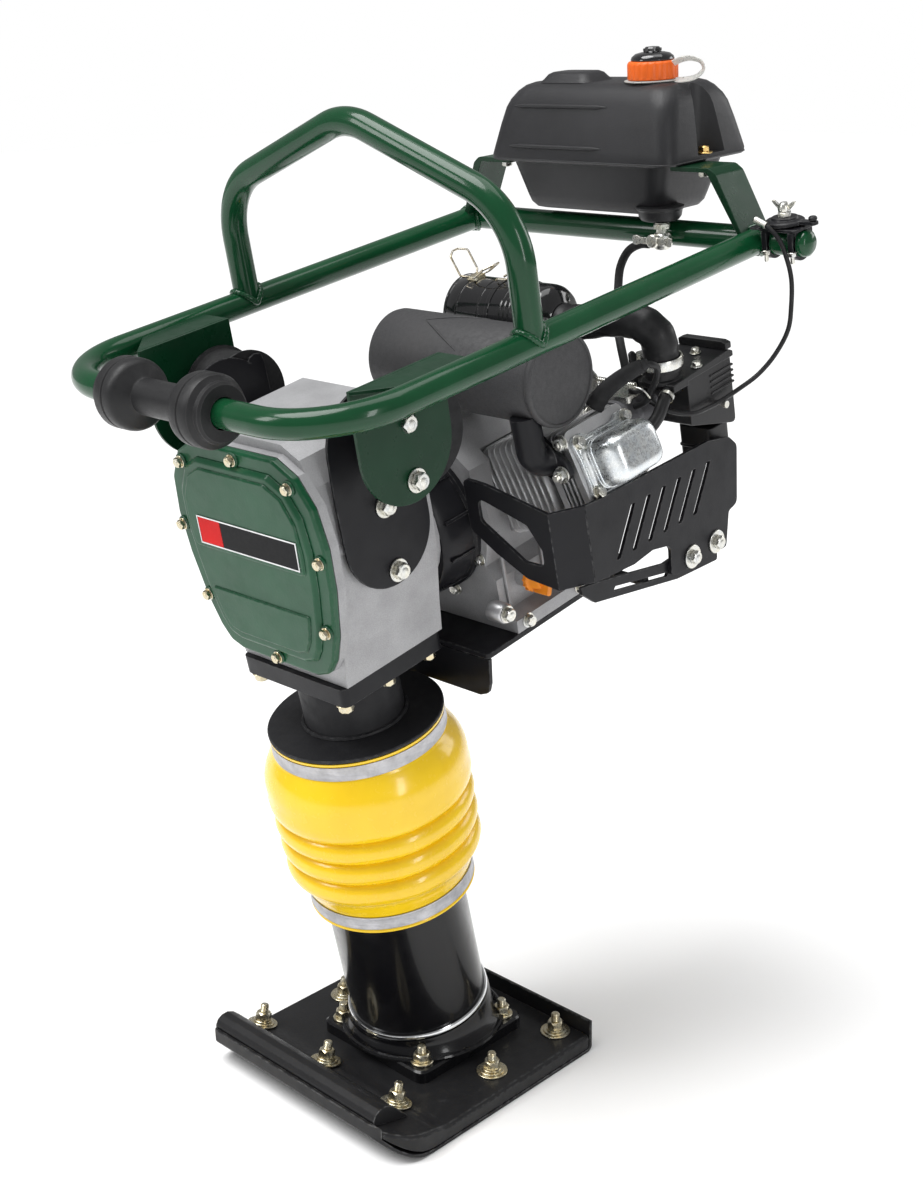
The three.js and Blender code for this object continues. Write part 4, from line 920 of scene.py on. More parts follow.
def build_suspension():
    mount = prism(mount_outline(), 100.4, 103.2, "x")
    hole = arc(-19, 781, 9, 0, 345, 23)
    plate = prism(hanger_outline(), 149.2, 152.8, "x", holes=[hole])
    shelf = prism(fillet([(153, -81), (196, -41), (199, -38), (199, 31), (153, 31)], [0, 4, 0, 0, 0]), 826.2,
                  829.8)
    drum = revolve([[0, 103.6], [46, 103.6], [46, 107], [43.6, 108.2], [42.8, 112], [42.8, 141],
                    [43.6, 144.6], [46, 145.8], [46, 148.6], [0, 148.6]], "x", (0, 4, 761.5), 64)
    ends = [revolve([[30, a], [46.6, a], [46.6, b], [30, b]], "x", (0, 4, 761.5), 64)
            for a, b in ((103.9, 105.6), (146.7, 148.2))]
    for side, flip, out in (("right", list, 1), ("left", mirrored, -1)):
        piece(f"{side}_mount", flip([mount]), "black_paint", [f"{side}_mount_plate"], bevel=0.9)
        piece(f"{side}_drum", flip([drum]), "rubber", [f"{side}_rubber_drum"], place=HANDLE, crease=50)
        piece(f"{side}_drum_rings", flip(ends), "satin_black", place=HANDLE)
        piece(f"{side}_hanger", flip([plate]), "shade_darkened_green", [f"{side}_hanger_plate"], place=HANDLE,
              bevel=0.9)
        piece(f"{side}_hanger_shelf", flip([shelf]), "shade_darkened_green", [f"{side}_hanger_plate"], place=HANDLE,
              bevel=0.8)
        low = []
        for y, z in ((8, 626), (7, 693)):
            low += bolt((out * 103.3, y, z), (out, 0, 0), 8.6, 6.5, 11.5, 2.2)
        piece(f"{side}_mount_bolts", low, "zinc")
        high = []
        for y, z in ((-21, 727), (-21, 781)):
            high += bolt((out * (153.0 if z < 760 else 148.9), y, z), (out, 0, 0), 8.6, 6.5, 8.9 if z > 760
                         else 11.5, 2.2)
        piece(f"{side}_hanger_bolts", high, "zinc", place=HANDLE)


# ---- handle frame ----

TUBE = 13.5
HANDLE_X, HANDLE_Z = 200.0, 822.5
BAR_Y, CROSS_Y = -151.0, 449.0
HOOP_Y = 97.0


def saddle(r, along="y", at=(0, 0, 0), up=1, n=110):
    """Weld line where a tube end meets a tube of the same size that runs along an axis."""
    out = []
    for k in range(n):
        a = 2 * pi * k / n
        u, v = r * cos(a), r * sin(a)
        rise = up * sqrt(max(0.0, r * r - u * u))
        out.append(Vector({"y": (u, v, rise), "x": (v, rise, u)}[along]) + Vector(at))
    return out


def build_frame():
    loop = bent([(-HANDLE_X, CROSS_Y - 6, HANDLE_Z), (-HANDLE_X, BAR_Y, HANDLE_Z),
                 (HANDLE_X, BAR_Y, HANDLE_Z), (HANDLE_X, CROSS_Y - 6, HANDLE_Z)], 85, 16)
    cross = revolve([[0, -206], [11, -206], [TUBE, -204.5], [TUBE, 256], [TUBE - 0.7, 259], [TUBE - 4, 262],
                     [0, 263]],
                    "x", (0, CROSS_Y, HANDLE_Z), 40)
    piece("frame_loop", [tube(loop, TUBE, 40)], "frame_green", ["handle_frame"], place=HANDLE)
    piece("frame_cross_tube", [cross], "frame_green", ["handle_frame"], place=HANDLE)
    hoop = bent([(-HANDLE_X, HOOP_Y, HANDLE_Z + 2), (-HANDLE_X, HOOP_Y, 942), (0, HOOP_Y, 1018.6),
                 (HANDLE_X, HOOP_Y, 942), (HANDLE_X, HOOP_Y, HANDLE_Z + 2)], 75, 16)
    piece("hoop_tube", [tube(hoop, TUBE, 40)], "frame_green", ["lifting_hoop"], place=HANDLE)
    beads = []
    for x in (-HANDLE_X, HANDLE_X):
        beads.append(weld(saddle(TUBE + 0.9, "y", (x, HOOP_Y, HANDLE_Z)), 3.0, 26))
        beads.append(weld(saddle(TUBE + 0.9, "x", (x, CROSS_Y, HANDLE_Z), -1), 2.4, 26))
    for x in (-198, 198):
        run = [(x, -36 + 64 * k / 30, 828.2 - 18.0) for k in range(31)]
        beads.append(tube(run, lambda t: 2.0 * (1 + 0.15 * abs(sin(pi * 16 * t))), 8))
    piece("frame_welds", beads, "frame_green", place=HANDLE, crease=70)


def build_roller():
    """Moulded dumbbell roller with grooved drums."""
    half = [(17, 0), (17, 33), (18.5, 35), (29, 39.5), (32, 42.5), (33.2, 46), (33.5, 50), (33.5, 54),
            (32.3, 55.2), (32.3, 56.2), (33.5, 57.4), (33.5, 66), (32.4, 68.6), (29.5, 70.6), (27.6, 72.4),
            (27.4, 77), (25, 79), (14.6, 79)]
    profile = [[r, -x] for r, x in reversed(half)] + [[r, x] for r, x in half[1:]]
    body = revolve(profile, "x", (-11, BAR_Y, HANDLE_Z), 72)
    piece("dumbbell_roller", [body], "roller_plastic", ["transport_roller"], place=HANDLE, body="roller",
          crease=30)


# ---- tank and its controls ----

CAP_AT = (62, 59, 0)
TAP_X, TAP_Y = 97, 25

def tank_ring(x, y0, y1, r, z):
    return [(u, v, z) for u, v in rect(-x, x, y0, y1, r, 6)]


def tank_body():
    rows = [(80, 33, 107, 12, -57), (86, 28, 112, 14, -55.5), (91, 23, 117, 17, -50),
            (94, 20.5, 119.5, 18, -42), (105, 12, 130, 20, -6), (112, 8, 134, 18, -3.4),
            (123.5, 1.4, 140.6, 17, -3.2), (125.3, -0.2, 142.2, 18, -1.4),
            (125.5, -0.4, 142.4, 18, 3), (124.2, 1, 141, 19, 10), (119.5, 7, 135, 21, 34),
            (115.5, 12.5, 129.5, 22, 52), (112.5, 16.5, 125.5, 23, 60), (106.5, 22.8, 119.2, 23, 68.4),
            (100, 29, 113, 21, 73.4), (92, 36, 106, 18, 76)]
    return loft([tank_ring(*row) for row in rows])


def tank_cutter(side):
    """Bolt pocket at one end, open to the side: a triangle in plan."""
    outline = fillet([(side * 88, 74), (side * 160, 30), (side * 160, 118)], [16, 0, 0], 6)
    return prism(outline, 3.4, 110)


def carve(thing, cutters):
    """Cuts shapes out of a piece for good."""
    tool = piece("carver", cutters, "tank_plastic", place=TANK)
    made = thing.modifiers.new("pockets", "BOOLEAN")
    made.operation = "DIFFERENCE"
    made.solver = "EXACT"
    made.object = tool
    with bpy.context.temp_override(object=thing, active_object=thing, selected_objects=[thing]):
        bpy.ops.object.modifier_apply(modifier="pockets")
    bpy.data.objects.remove(tool)


def build_tank():
    shell = piece("tank_shell", [tank_body()], "tank_plastic", ["fuel_tank"], place=TANK, crease=24)
    carve(shell, [tank_cutter(-1), tank_cutter(1)])
    shell.data.set_sharp_from_angle(angle=radians(30))
    bump = loft([[(u - 44, v, z) for u, v in rect(-x, x, y0, y1, r, 6)] for x, y0, y1, r, z in
                 ((36, 34, 86, 12, 75.6), (32, 38, 82, 11, 79.5), (28, 41, 79, 10, 84), (24, 45, 75, 9, 86))])
    neck = revolve([[0, 76.1], [23, 76.1], [20.3, 77.8], [20.0, 96.5], [0, 96.5]], at=CAP_AT, n=48)
    sump = revolve([[0, -62], [16, -62], [20, -60.6], [22.6, -57], [23.6, -51], [25.4, -49], [25.4, -47],
                    [0, -47]],
                   at=(88, 34, 0), n=48)
    piece("tank_bump", [bump], "tank_plastic", ["fuel_tank"], place=TANK, bevel=1.2)
    piece("filler_neck", [neck, sump], "tank_plastic", ["fuel_tank"], place=TANK, crease=30)
    ribs = []
    for y, z in ((1.6, 13), (13.2, 54)):
        ribs.append(tube([(-94 + 13 * k, y, z) for k in range(11)],
                         lambda t: 2.2 * min(1, 12 * t + 0.2, 12.2 - 12 * t), 12))
    seam = tube([Vector((u, v, -1)) for u, v in rect(-125.2, 125.2, -0.2, 142.2, 18, 8)], 0.9, 8, closed=True)
    piece("tank_ribs", [*ribs, seam], "tank_plastic", place=TANK, crease=60)
    screws = bolt((118, 71, 3.6), (0, 0, 1), 6, 5, 9, 1.4) + bolt((-118, 71, 3.6), (0, 0, 1), 6, 5, 9, 1.4)
    piece("tank_bolts", screws, "brass", place=TANK)


def build_cap():
    """Screw cap with grip flutes and a vent knob on top."""
    base, n = 78.6, 120
    rings = []
    for r, z, flute in ((20.6, base, 0), (25.6, base, 0), (26.4, base + 0.8, 0.2), (26.5, base + 4, 1),
                        (26.5, base + 15, 1), (26.0, base + 16.4, 0.6), (24.8, base + 18, 0),
                        (22, base + 18.6, 0)):
        ring = []
        for k in range(n):
            a = 2 * pi * k / n
            dip = 1.1 * flute * (0.5 - 0.5 * cos(20 * a)) ** 3
            ring.append((CAP_AT[0] + (r - dip) * cos(a), CAP_AT[1] + (r - dip) * sin(a), z))
        rings.append(ring)
    piece("cap_ring", [loft(rings, closed=True)], "orange_plastic", ["fuel_cap"], place=TANK,
          body="tank_cap", crease=45)
    knob = revolve([[0, base + 18.7], [22.4, base + 18.7], [22.8, base + 19.6], [21.8, base + 22.4],
                    [18, base + 25.4], [12, base + 26.8], [9, base + 27.2], [8.4, base + 28],
                    [8.4, base + 30.4], [7, base + 32], [0, base + 32.6]], at=CAP_AT, n=48)
    ticks = [placed(Matrix.Translation(CAP_AT) @ Matrix.Rotation(2 * pi * k / 8, 4, "Z"),
                    block(8.0, 9.6, -1.2, 1.2, base + 27.6, base + 30.6, 0.4))[0] for k in range(8)]
    piece("cap_knob", [knob, *ticks], "gloss_plastic", ["fuel_cap"], place=TANK, body="tank_cap", bevel=0.3)
    collar = revolve([[20.8, 76.6], [29.6, 76.6], [30, 77.0], [30, 77.7], [29.6, 78.1], [20.8, 78.1]],
                     at=CAP_AT, n=64)
    loop = smooth([(CAP_AT[0] + x, CAP_AT[1] + y, 77.3 + z) for x, y, z in (
        (29, 0, 0), (42, 0, 0.8), (56, 1, 4), (63, 3, 11), (60, 3, 18), (49, 2, 21.6), (37, 1, 20.6),
        (27.4, 0, 17))], 8)
    strap = tube(loop, 1.0, section=[(u * 3.4, v * 0.9) for u, v in rect(-1, 1, -1, 1, 0.5, 3)])
    piece("cap_leash", [collar, strap], "tether_plastic", ["cap_tether"], place=TANK, crease=50)


def build_tap():
    """Petcock: nut, turned body and barb, with a winged lever."""
    x, y = TAP_X, TAP_Y
    stem = revolve([[0, -73], [6, -73], [6, -68], [7, -67.5], [7, -62.3], [0, -62.3]], at=(x, y, 0), n=32)
    nut_ring = placed(Matrix.Translation((x, y, -68.4)), hexagon(9.2, 0, 5.6, 0.8))
    body = revolve([[0, -90], [7, -90], [8.4, -88.5], [9.5, -85], [9.5, -75], [8, -73.2], [0, -73.2]],
                   at=(x, y, 0), n=40)
    spindle = revolve([[0, -14], [5.6, -14], [6, -13], [6, -9.2], [0, -9.2]], "y", (x, y, -79), 24)
    barb = revolve([[0, -17.5], [2.6, -17.5], [3.8, -15.2], [3.0, -14.8], [3.8, -12.6], [3.0, -12.2],
                    [3.8, -10], [3.4, -9.2], [0, -9.2]], "x", (x, y, -86), 24)
    piece("petcock", [stem, *nut_ring, body, spindle, barb], "zinc", ["fuel_tap"], place=TANK, crease=35)
    hub = revolve([[0, -19.4], [5.8, -19.4], [7, -18.4], [7, -14.4], [0, -14.4]], "y", (x, y, -79), 32)
    half = [(7, -3.6), (16, -3.2), (21, -5), (25, -4.4), (26, 0), (25, 4.4), (21, 5), (16, 3.2), (7, 3.6)]
    wings = []
    for s in (-1, 1):
        wings.append(prism(fillet([(x + s * u, -79 + v) for u, v in half], 1.2), y - 17.6, y - 15.2, "y"))
    piece("petcock_lever", [hub, *wings], "zinc", ["tap_lever"], place=TANK, body="tap", bevel=0.4)


def build_straps():
    """Folded brackets that carry the tank, welded to the side tubes and cross tube."""
    lean = 0.12
    line = [(198.5, -75), (169, -10), (160.5, -3.8), (112, -3.8)]
    inner = [(112, -8.8), (157.5, -8.8), (193, -75)]
    outline = fillet(line, [0, 9, 7, 0], 4, closed=False) + fillet(inner, [0, 3, 0], 3, closed=False)
    strap = prism(outline, 20, 68, "y")
    strap = ([Vector((v[0], v[1] - lean * v[2], v[2])) for v in strap[0]], strap[1])
    screw = bolt((138, 44, -8.9), (0, 0, -1), 6, 5, 8.6, 1.4)
    for side, flip in (("right", list), ("left", mirrored)):
        piece(f"{side}_strap", flip([strap]), "shade_darkened_green", [f"{side}_tank_strap"], place=TANK, bevel=0.8)
        piece(f"{side}_strap_bolt", flip(screw), "zinc", place=TANK)


# ---- engine ----

CRANK_Z = 600.0
CYL_Y = 222.0
DIPSTICK_AT = (0, 178, 538)
ELBOW_AT = (187, 322, 0)
ON_CYLINDER = Matrix.Translation((0, 0, CRANK_Z)) @ Matrix.Rotation(radians(-20), 4, "Y")
ENGINE_BLOCK = MACHINE @ ON_CYLINDER


def build_muffler():
    """Drum silencer with a pressed chevron and end seams, and its exhaust pipe."""
    y, z, radius = 185, 760, 46.1
    can = revolve([[0, -40], [42, -40], [45, -38.5], [46, -35], [46, 169], [45.2, 170.4], [45.2, 172],
                   [46.2, 173.2], [46.4, 176], [45.6, 178.6], [44, 179.8], [42.6, 179.4], [42, 178],
                   [0, 177.6]], "x",
                   (0, y, z), 96)
    piece("muffler_can", [can], "heat_paint", ["muffler"], crease=40)
    ridge = []
    for a0, a1 in ((78, 112), (78, 40)):
        path = []
        for i in range(15):
            t = i / 14
            a = radians(a0 + (a1 - a0) * t)
            path.append((18 + 62 * t, y - radius * cos(a), z + radius * sin(a)))
        ridge.append(tube(path, lambda s: 0.4 + 0.8 * sin(pi * s), 8))
    piece("muffler_chevron", ridge, "heat_paint", crease=80)
    face, px, pz = CYL_Y - 51.3, 160, 686
    outline = fillet([(131, 690), (140, 708), (152, 712), (190, 684), (194, 672), (184, 662), (172, 663),
                      (134, 678)], 8, 5)
    flange = prism(outline, face - 7.5, face, "y")
    elbow = tube(bent([(px, face - 7.4, pz), (px, face - 20, pz), (px - 3, face - 20, 733)], 12, 10),
                 lambda t: 19 - 4.5 * min(1, 2.2 * t), 32)
    piece("exhaust_flange", [flange], "black_paint", ["exhaust_pipe"], bevel=1.4)
    piece("exhaust_elbow", [elbow], "black_paint", ["exhaust_pipe"])
    nuts = []
    for at in ((142, face - 7.7, 697), (184, face - 7.7, 673)):
        nuts += bolt(at, (0, -1, 0), 7, 5.5, 8.6, 1.6, 4)
    nuts += bolt((181, face - 0.2, 702), (0, -1, 0), 6.6, 5, 8.6, 1.4)
    piece("exhaust_nuts", nuts, "zinc")


def build_barrel():
    """Cylinder with thin cast fins, and head with its own fins."""
    fins = []
    for k in range(9):
        d = 87 + 8.8 * k
        thin = rect(CYL_Y - 50, CYL_Y + 38, -47, 47, 12, 4)
        inner = rect(CYL_Y - 49.2, CYL_Y + 37.2, -46.2, 46.2, 12, 4)
        fins.append(layered([(inner, d), (thin, d + 0.6), (thin, d + 2.0), (inner, d + 2.6)], "x"))
    barrel = revolve([[0, 84.6], [35, 84.6], [35, 165.8], [0, 165.8]], "x", (0, CYL_Y, 0), 64)
    piece("barrel_fins", fins, "fin_alloy", ["cylinder_fins"], place=ENGINE_BLOCK)
    piece("barrel", [barrel], "dark_alloy", ["cylinder_fins"], place=ENGINE_BLOCK)
    head = prism(rect(CYL_Y - 45, CYL_Y + 41, -41, 41, 9, 4), 166.4, 175, "x")
    deck = prism(rect(CYL_Y - 45, CYL_Y + 41, -41, 41, 9, 4), 195, 203.6, "x")
    core = prism(rect(CYL_Y - 34, CYL_Y + 30, -33, 33, 6, 4), 175.1, 194.9, "x")
    ribs = [prism(rect(CYL_Y - 46, CYL_Y + 42, -42, 42, 9, 4), a, a + 2.4, "x",
                  holes=[rect(CYL_Y - 34.5, CYL_Y + 30.5, -33.5, 33.5, 6, 4)]) for a in (178, 184, 190)]
    piece("head_castings", [head, deck, core, *ribs], "fin_alloy", ["cylinder_head"], place=ENGINE_BLOCK,
          bevel=0.5)
    bolts = []
    for y in (CYL_Y - 40, CYL_Y + 36):
        for z in (-37, 37):
            bolts += bolt((165.9, y, z), (-1, 0, 0), 6.4, 5, 8, 1.4)
    piece("head_bolts", bolts, "zinc", place=ENGINE_BLOCK)


def build_valve_cover():
    """Bright pressed cover: stepped flange with screw ears and a domed box."""
    y0, y1 = CYL_Y - 43, CYL_Y + 43
    ears = fillet([(y0, -28), (y0 + 10, -32.4), (y1 - 10, -32.4), (y1, -28), (y1 - 3, -14), (y1 - 3, 12),
                   (y1, 33), (y1 - 16, 34), (y1 - 24, 29), (y0 + 24, 29), (y0 + 16, 34), (y0, 33),
                   (y0 + 3, 12), (y0 + 3, -14)],
                  [7, 9, 9, 7, 6, 6, 8, 6, 6, 6, 6, 8, 6, 6], 4)
    flange = layered([(ears, 204.0), (ears, 207.2), ([(u * 0.985 + 0.015 * CYL_Y, v * 0.985) for u,
                                                      v in ears], 208)], "x")
    def box(grow, r):
        return rect(y0 + 9 - grow, y1 - 9 + grow, -25 - grow, 24 + grow, r, 8)
    dome = layered([(box(3.4, 12), 208.1), (box(1.6, 12), 209.2), (box(0.4, 13), 212), (box(0, 14), 226),
                    (box(-0.8, 14), 238), (box(-3, 14), 244), (box(-7, 12), 248), (box(-12, 9), 249.2)], "x")
    piece("rocker_flange", [flange], "zinc_pressing", ["valve_cover"], place=ENGINE_BLOCK, bevel=0.5)
    piece("rocker_cover", [dome], "zinc_pressing", ["valve_cover"], place=ENGINE_BLOCK, crease=60)
    ridge = [tube([Vector((d, u, v)) for u, v in box(0.4, 14)], 0.9, 8, closed=True) for d in (215, 219)]
    piece("rocker_ridges", ridge, "zinc_pressing", place=ENGINE_BLOCK, crease=80)
    screws = []
    for y, z in ((y0 + 8, -25), (y0 + 8, 27), (y1 - 8, 27), (y1 - 8, -25)):
        screws += bolt((208.2, y, z), (1, 0, 0), 5.6, 4.6, 7.4, 1.2)
    piece("rocker_screws", screws, "zinc", place=ENGINE_BLOCK)


def build_filter():
    """Gloss canister filter: lid, seams, end cone, and sprung wire clips."""
    y, z = 300, 765
    can = revolve([[0, -52.6], [26, -52.6], [29, -54], [33, -53.6], [36.6, -51], [38, -47.5], [38, -34],
                   [37, -33.2], [37, -31.8], [38, -31], [38, -4], [37, -3.2], [37, -1.8], [38, -1], [38, 66],
                   [37.2, 71], [34.4, 75.6], [30, 79], [24, 81.4], [21, 83.6], [0, 83.8]], "x", (0, y, z), 96)
    piece("filter_can", [can], "gloss_plastic", ["air_filter"], crease=32)
    band = revolve([[38.2, 8], [39, 8.2], [39, 12.8], [38.2, 13]], "x", (0, y, z), 96)
    lips = [revolve([[38.1, a], [39.2, a + 0.8], [38.1, a + 1.6]], "x", (0, y, z), 96)
            for a in (-50, 28, 34, 40)]
    piece("filter_ribs", [band, *lips], "gloss_plastic", crease=60)
    top = z + 38

    def bail(x0, x1, spread, low, high):
        corners = [(x0, y - 6, top + low), (x0 + (x1 - x0) * 0.25, y - spread, top + low + 3),
                   (x0 + (x1 - x0) * 0.75, y - spread, top + high - 3), (x1, y - 4, top + high),
                   (x1, y + 4, top + high), (x0 + (x1 - x0) * 0.75, y + spread, top + high - 3),
                   (x0 + (x1 - x0) * 0.25, y + spread, top + low + 3), (x0, y + 6, top + low)]
        return tube(bent(corners, 3, 6), 1.2, 10)
    piece("filter_bail", [bail(-29, 1, 12, 1.5, 17)], "clip_wire", ["filter_clip"], body="clip")
    piece("filter_keeper", [bail(-35, -55, 13, 2, 28), bail(4, 26, 9, 2, 8)], "clip_wire")
    foot = prism(fillet([(-38, top - 1.2), (-22, top - 1.2), (-24, top + 3.6), (-36, top + 3.6)], 1.2),
                 y - 7, y + 7, "y")
    piece("filter_hinge", [foot], "gold_zinc", bevel=0.5)


def build_intake():
    """Rubber elbow with its clamp, ribbed intake box, carburettor and throttle linkage."""
    path = smooth([(84.2, 300, 765), (106, 302, 768), (142, 309, 773), (170, 317, 769), (186, 321, 755),
                   (187, 322, 738), (187, 322, 720.4)], 7)
    def girth(s):
        cuff = 1.6 * (s < 0.06 or s > 0.9)
        return 18 + cuff + 0.35 * sin(60 * s)
    piece("elbow_hose", [tube(path, girth, 40)], "gloss_rubber", ["intake_elbow"])
    clamp = revolve([[19.8, 724.5], [20.9, 724.5], [21.3, 725.4], [21.3, 733.6], [20.9, 734.5],
                     [19.8, 734.5]], at=ELBOW_AT, n=64)
    casing = prism(fillet([(-22, -3), (-22, 7), (-30, 8), (-33, 3), (-30, -3)], 2.4), 724.6, 734.4)
    casing = placed(Matrix.Translation(ELBOW_AT), casing)
    screw = bolt((158.5, 331, 729.5), (-0.3, 1, 0), 4.2, 6)
    piece("elbow_clamp", [clamp], "zinc", crease=40)
    piece("elbow_clamp_screw", [*casing, *screw], "zinc", bevel=0.4)
    neck = revolve([[13, 710.2], [21, 710.2], [21, 713], [18.2, 714.6], [17.8, 720], [13, 720]], at=ELBOW_AT,
                   n=48)
    body = prism(fillet([(330, 660), (402, 636), (402, 708), (330, 708)], [4, 6, 2, 2]), 154, 210, "x")
    lid = prism(fillet([(306, 704.6), (329.8, 704.6), (329.8, 708.4), (404, 708.4), (404, 714), (398, 717),
                        (306, 712)],
                       [2, 0, 0, 1, 2, 2, 2]), 151.5, 212.5, "x")
    ribs = [prism(rect(366, 404.2, z, z + 2.4, 1.1), 152.6, 211.4, "x") for z in (698, 692, 686, 680)]
    hood = prism(fillet([(152, 717.2), (212, 717.2), (212, 724), (206, 726), (158, 726), (152, 724)], 1.5),
                 394, 403, "y")
    upright = [block(x, x + 3, 402.2, 404.4, 641, 698, 1.0) for x in (166, 180, 195)]
    resonator = prism(rect(161, 203, 367, 399, 6, 5), 604.4, 640)
    bead = prism(rect(159.6, 204.4, 365.6, 400.4, 7, 5), 616, 619)
    piece("intake_resonator", [resonator, bead], "black_plastic", ["air_box"], bevel=1.4)
    stem = revolve([[0, 210.2], [2.6, 210.2], [2.6, 219], [3.8, 219.2], [3.8, 222], [0, 222]], "x",
                   (0, 374, 668), 24)
    piece("intake_stud", [stem], "zinc")
    piece("intake_case", [body, *ribs, *upright], "black_plastic", ["air_box"], bevel=1.0)
    piece("intake_lid", [lid, hood], "black_plastic", ["air_box"], bevel=0.9)
    piece("intake_neck", [neck], "black_plastic", ["air_box"])
    screws = []
    for x, y in ((158, 316), (206, 352), (160, 352), (184, 380)):
        z = 712.6 + (y - 306) * 0.053
        screws += bolt((x, y, z), (0, 0, 1), 4.6, 3.4, 6, 1)
    piece("intake_screws", screws, "zinc")
    face = CYL_Y + 51
    throat = revolve([[0, face], [22, face], [22, face + 6], [17, face + 7], [17, face + 20], [20, face + 24],
                      [20, 320], [22, 322], [22, 328.5], [0, 328.5]], "y", (158, 0, 678), 48)
    bowl = revolve([[0, 628], [14, 628], [18, 630], [19, 634], [19, 650], [20.5, 651], [20.5, 655],
                    [18.5, 656], [17, 666], [17, 676], [0, 676]], at=(158, 300, 0), n=48)
    drain = bolt((158, 300, 628), (0, 0, -1), 6, 5, 7, 1)
    barb = revolve([[0, 124], [2.8, 124], [4.2, 127], [3.4, 127.4], [4.2, 130], [3.4, 130.4], [4.2, 133],
                    [4.2, 140], [0, 140]],
                   "x", (0, 300, 650), 20)
    piece("carburettor_throat", [throat, barb], "dark_alloy", ["carburettor"], bevel=0.6)
    piece("carburettor_bowl", [bowl], "fin_alloy", ["carburettor"], bevel=0.6)
    deck = prism(fillet([(134, 287), (166, 287), (166, 318), (134, 318)], 6), 692, 700)
    piece("carburettor_deck", [deck, *drain], "zinc", ["carburettor"], bevel=0.7)
    lever = prism(fillet([(-4, -6), (5, -5), (4.5, 14), (7, 30), (3, 35), (-3, 34), (-2.5, 14)], 2.4), 170.4,
                  173.4, "x")
    lever = placed(Matrix.Translation((0, 295, 712)), lever)
    hub = revolve([[0, 704.4], [6.6, 704.4], [7, 705], [7, 708.6], [6, 709.4], [0, 709.4]], at=(172, 295, 0),
                  n=28)
    piece("choke_arm", [*lever, hub], "black_plastic", ["choke_lever"], body="choke", bevel=0.5)
    spring = []
    for k in range(220):
        a = 2 * pi * k / 10
        spring.append((134 + 0.22 * k, 285 + 3.4 * cos(a), 716 + 3.4 * sin(a)))
    rod_path = smooth([(124, 286, 716), (140, 285, 716), (176, 285, 715), (190, 286, 712), (196, 288, 704)],
                      6)
    plate = prism(fillet([(120, 700.6), (134, 700.6), (136, 722), (128, 730), (120, 722)], 3), 281, 283, "y")
    piece("governor_spring", [tube(spring, 0.55, 6)], "zinc")
    piece("governor_rod", [tube(rod_path, 1.1, 10)], "zinc")
    piece("governor_plate", [plate], "zinc", bevel=0.4)


def build_plug():
    """Ribbed spark plug boot and its lead, with a breather hose and its clip."""
    path = smooth([(170, 234, 712), (177, 241, 724), (188, 252, 735), (200, 262, 743), (208, 268, 747)], 8)
    boot = tube(path, lambda t: 9.4 - 2.6 * t + 0.5 * sin(44 * t) * max(0, 1 - 2 * t), 28)
    lead = tube(smooth([(206, 267, 746), (213, 271, 748), (214, 281, 742), (206, 290, 728), (196, 292, 712),
                        (190, 288, 700), (178, 284, 694)], 8), 3.3, 16)
    nipple = placed(aimed((208, 268, 747), (0.7, 0.5, 0.35)), revolve(
        [[0, -3], [5.6, -3], [5.4, 3], [4.2, 6], [0, 6]], n=24))
    piece("plug_boot", [boot, *nipple], "rubber", ["spark_plug_cap"], crease=60)
    piece("plug_lead", [lead], "gloss_rubber")
    breather = tube(smooth([(196, 330, 700), (200, 318, 706), (204, 300, 700), (205, 284, 686),
                            (200, 270, 676), (190, 262, 672)], 8), 6.5, 24)
    piece("breather_hose", [breather], "gloss_rubber")
    clip = revolve([[6.7, -2], [7.6, -2], [7.6, 2], [6.7, 2]], n=32)
    rings = placed(aimed((204.3, 303, 701.4), (0.15, -0.75, -0.3)), clip)
    piece("breather_clip", rings, "zinc")


def build_block():
    """Crankcase casting with its ribs, cover seams, bolts, filler and drain."""
    soften(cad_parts["engine_crankcase"], 1.5, 2, 30)
    ribs = [prism(rect(a, a + 3.2, 512, 600, 1.4), 92.3, 95.5, "x") for a in (150, 206, 232, 254)]
    flange = prism(arc(0, CRANK_Z, 88, 0, 355, 71), 140.4, 150, "y", holes=[arc(0, CRANK_Z, 60, 0, 355, 71)])
    piece("pto_flange", [flange], "alloy", bevel=1.0)
    piece("block_ribs", ribs, "alloy", bevel=0.9)
    bolts = []
    for k in range(8):
        a = radians(22.5 + 45 * k)
        bolts += bolt((80 * cos(a), 140.3, CRANK_Z + 80 * sin(a)), (0, -1, 0), 5.6, 4.4, 7.4, 1.2)
    bolts += bolt((112.3, 128, 521), (1, 0, 0), 7.2, 5, 9.4, 1.4)
    for y in (156, 238):
        bolts += bolt((112.3, y, 500.5), (1, 0, 0), 6.2, 5, 8, 1.4)
    piece("block_bolts", bolts, "zinc")
    lug = revolve([[0, 92.4], [11, 92.4], [11, 110], [9.6, 112], [0, 112]], "x", (0, 128, 521), 32)
    piece("drain_lug", [lug], "bright_alloy", bevel=0.6)
    cap = revolve([[0, 104.4], [13, 104.4], [14, 105.2], [14, 109], [12.2, 110.6], [11.2, 112], [10.4, 120],
                   [9, 123], [0, 124]], "x", DIPSTICK_AT, 48)
    grip = prism(fillet([(-14, -3.2), (14, -3.2), (15, 0), (14, 3.2), (-14, 3.2), (-15, 0)], 1.6), 112, 131,
                 "x")
    grip = placed(Matrix.Translation(DIPSTICK_AT) @ Matrix.Rotation(radians(68), 4, "X"), grip)
    flutes = [placed(Matrix.Translation(DIPSTICK_AT) @ Matrix.Rotation(2 * pi * k / 14, 4, "X"),
                     prism(rect(-1.1, 1.1, 12.6, 14.9, 0.6), 104.8, 109.4, "x"))[0] for k in range(14)]
    piece("filler_plug", [cap, *grip, *flutes], "dip_orange", ["oil_dipstick"], body="dipstick", bevel=0.4)


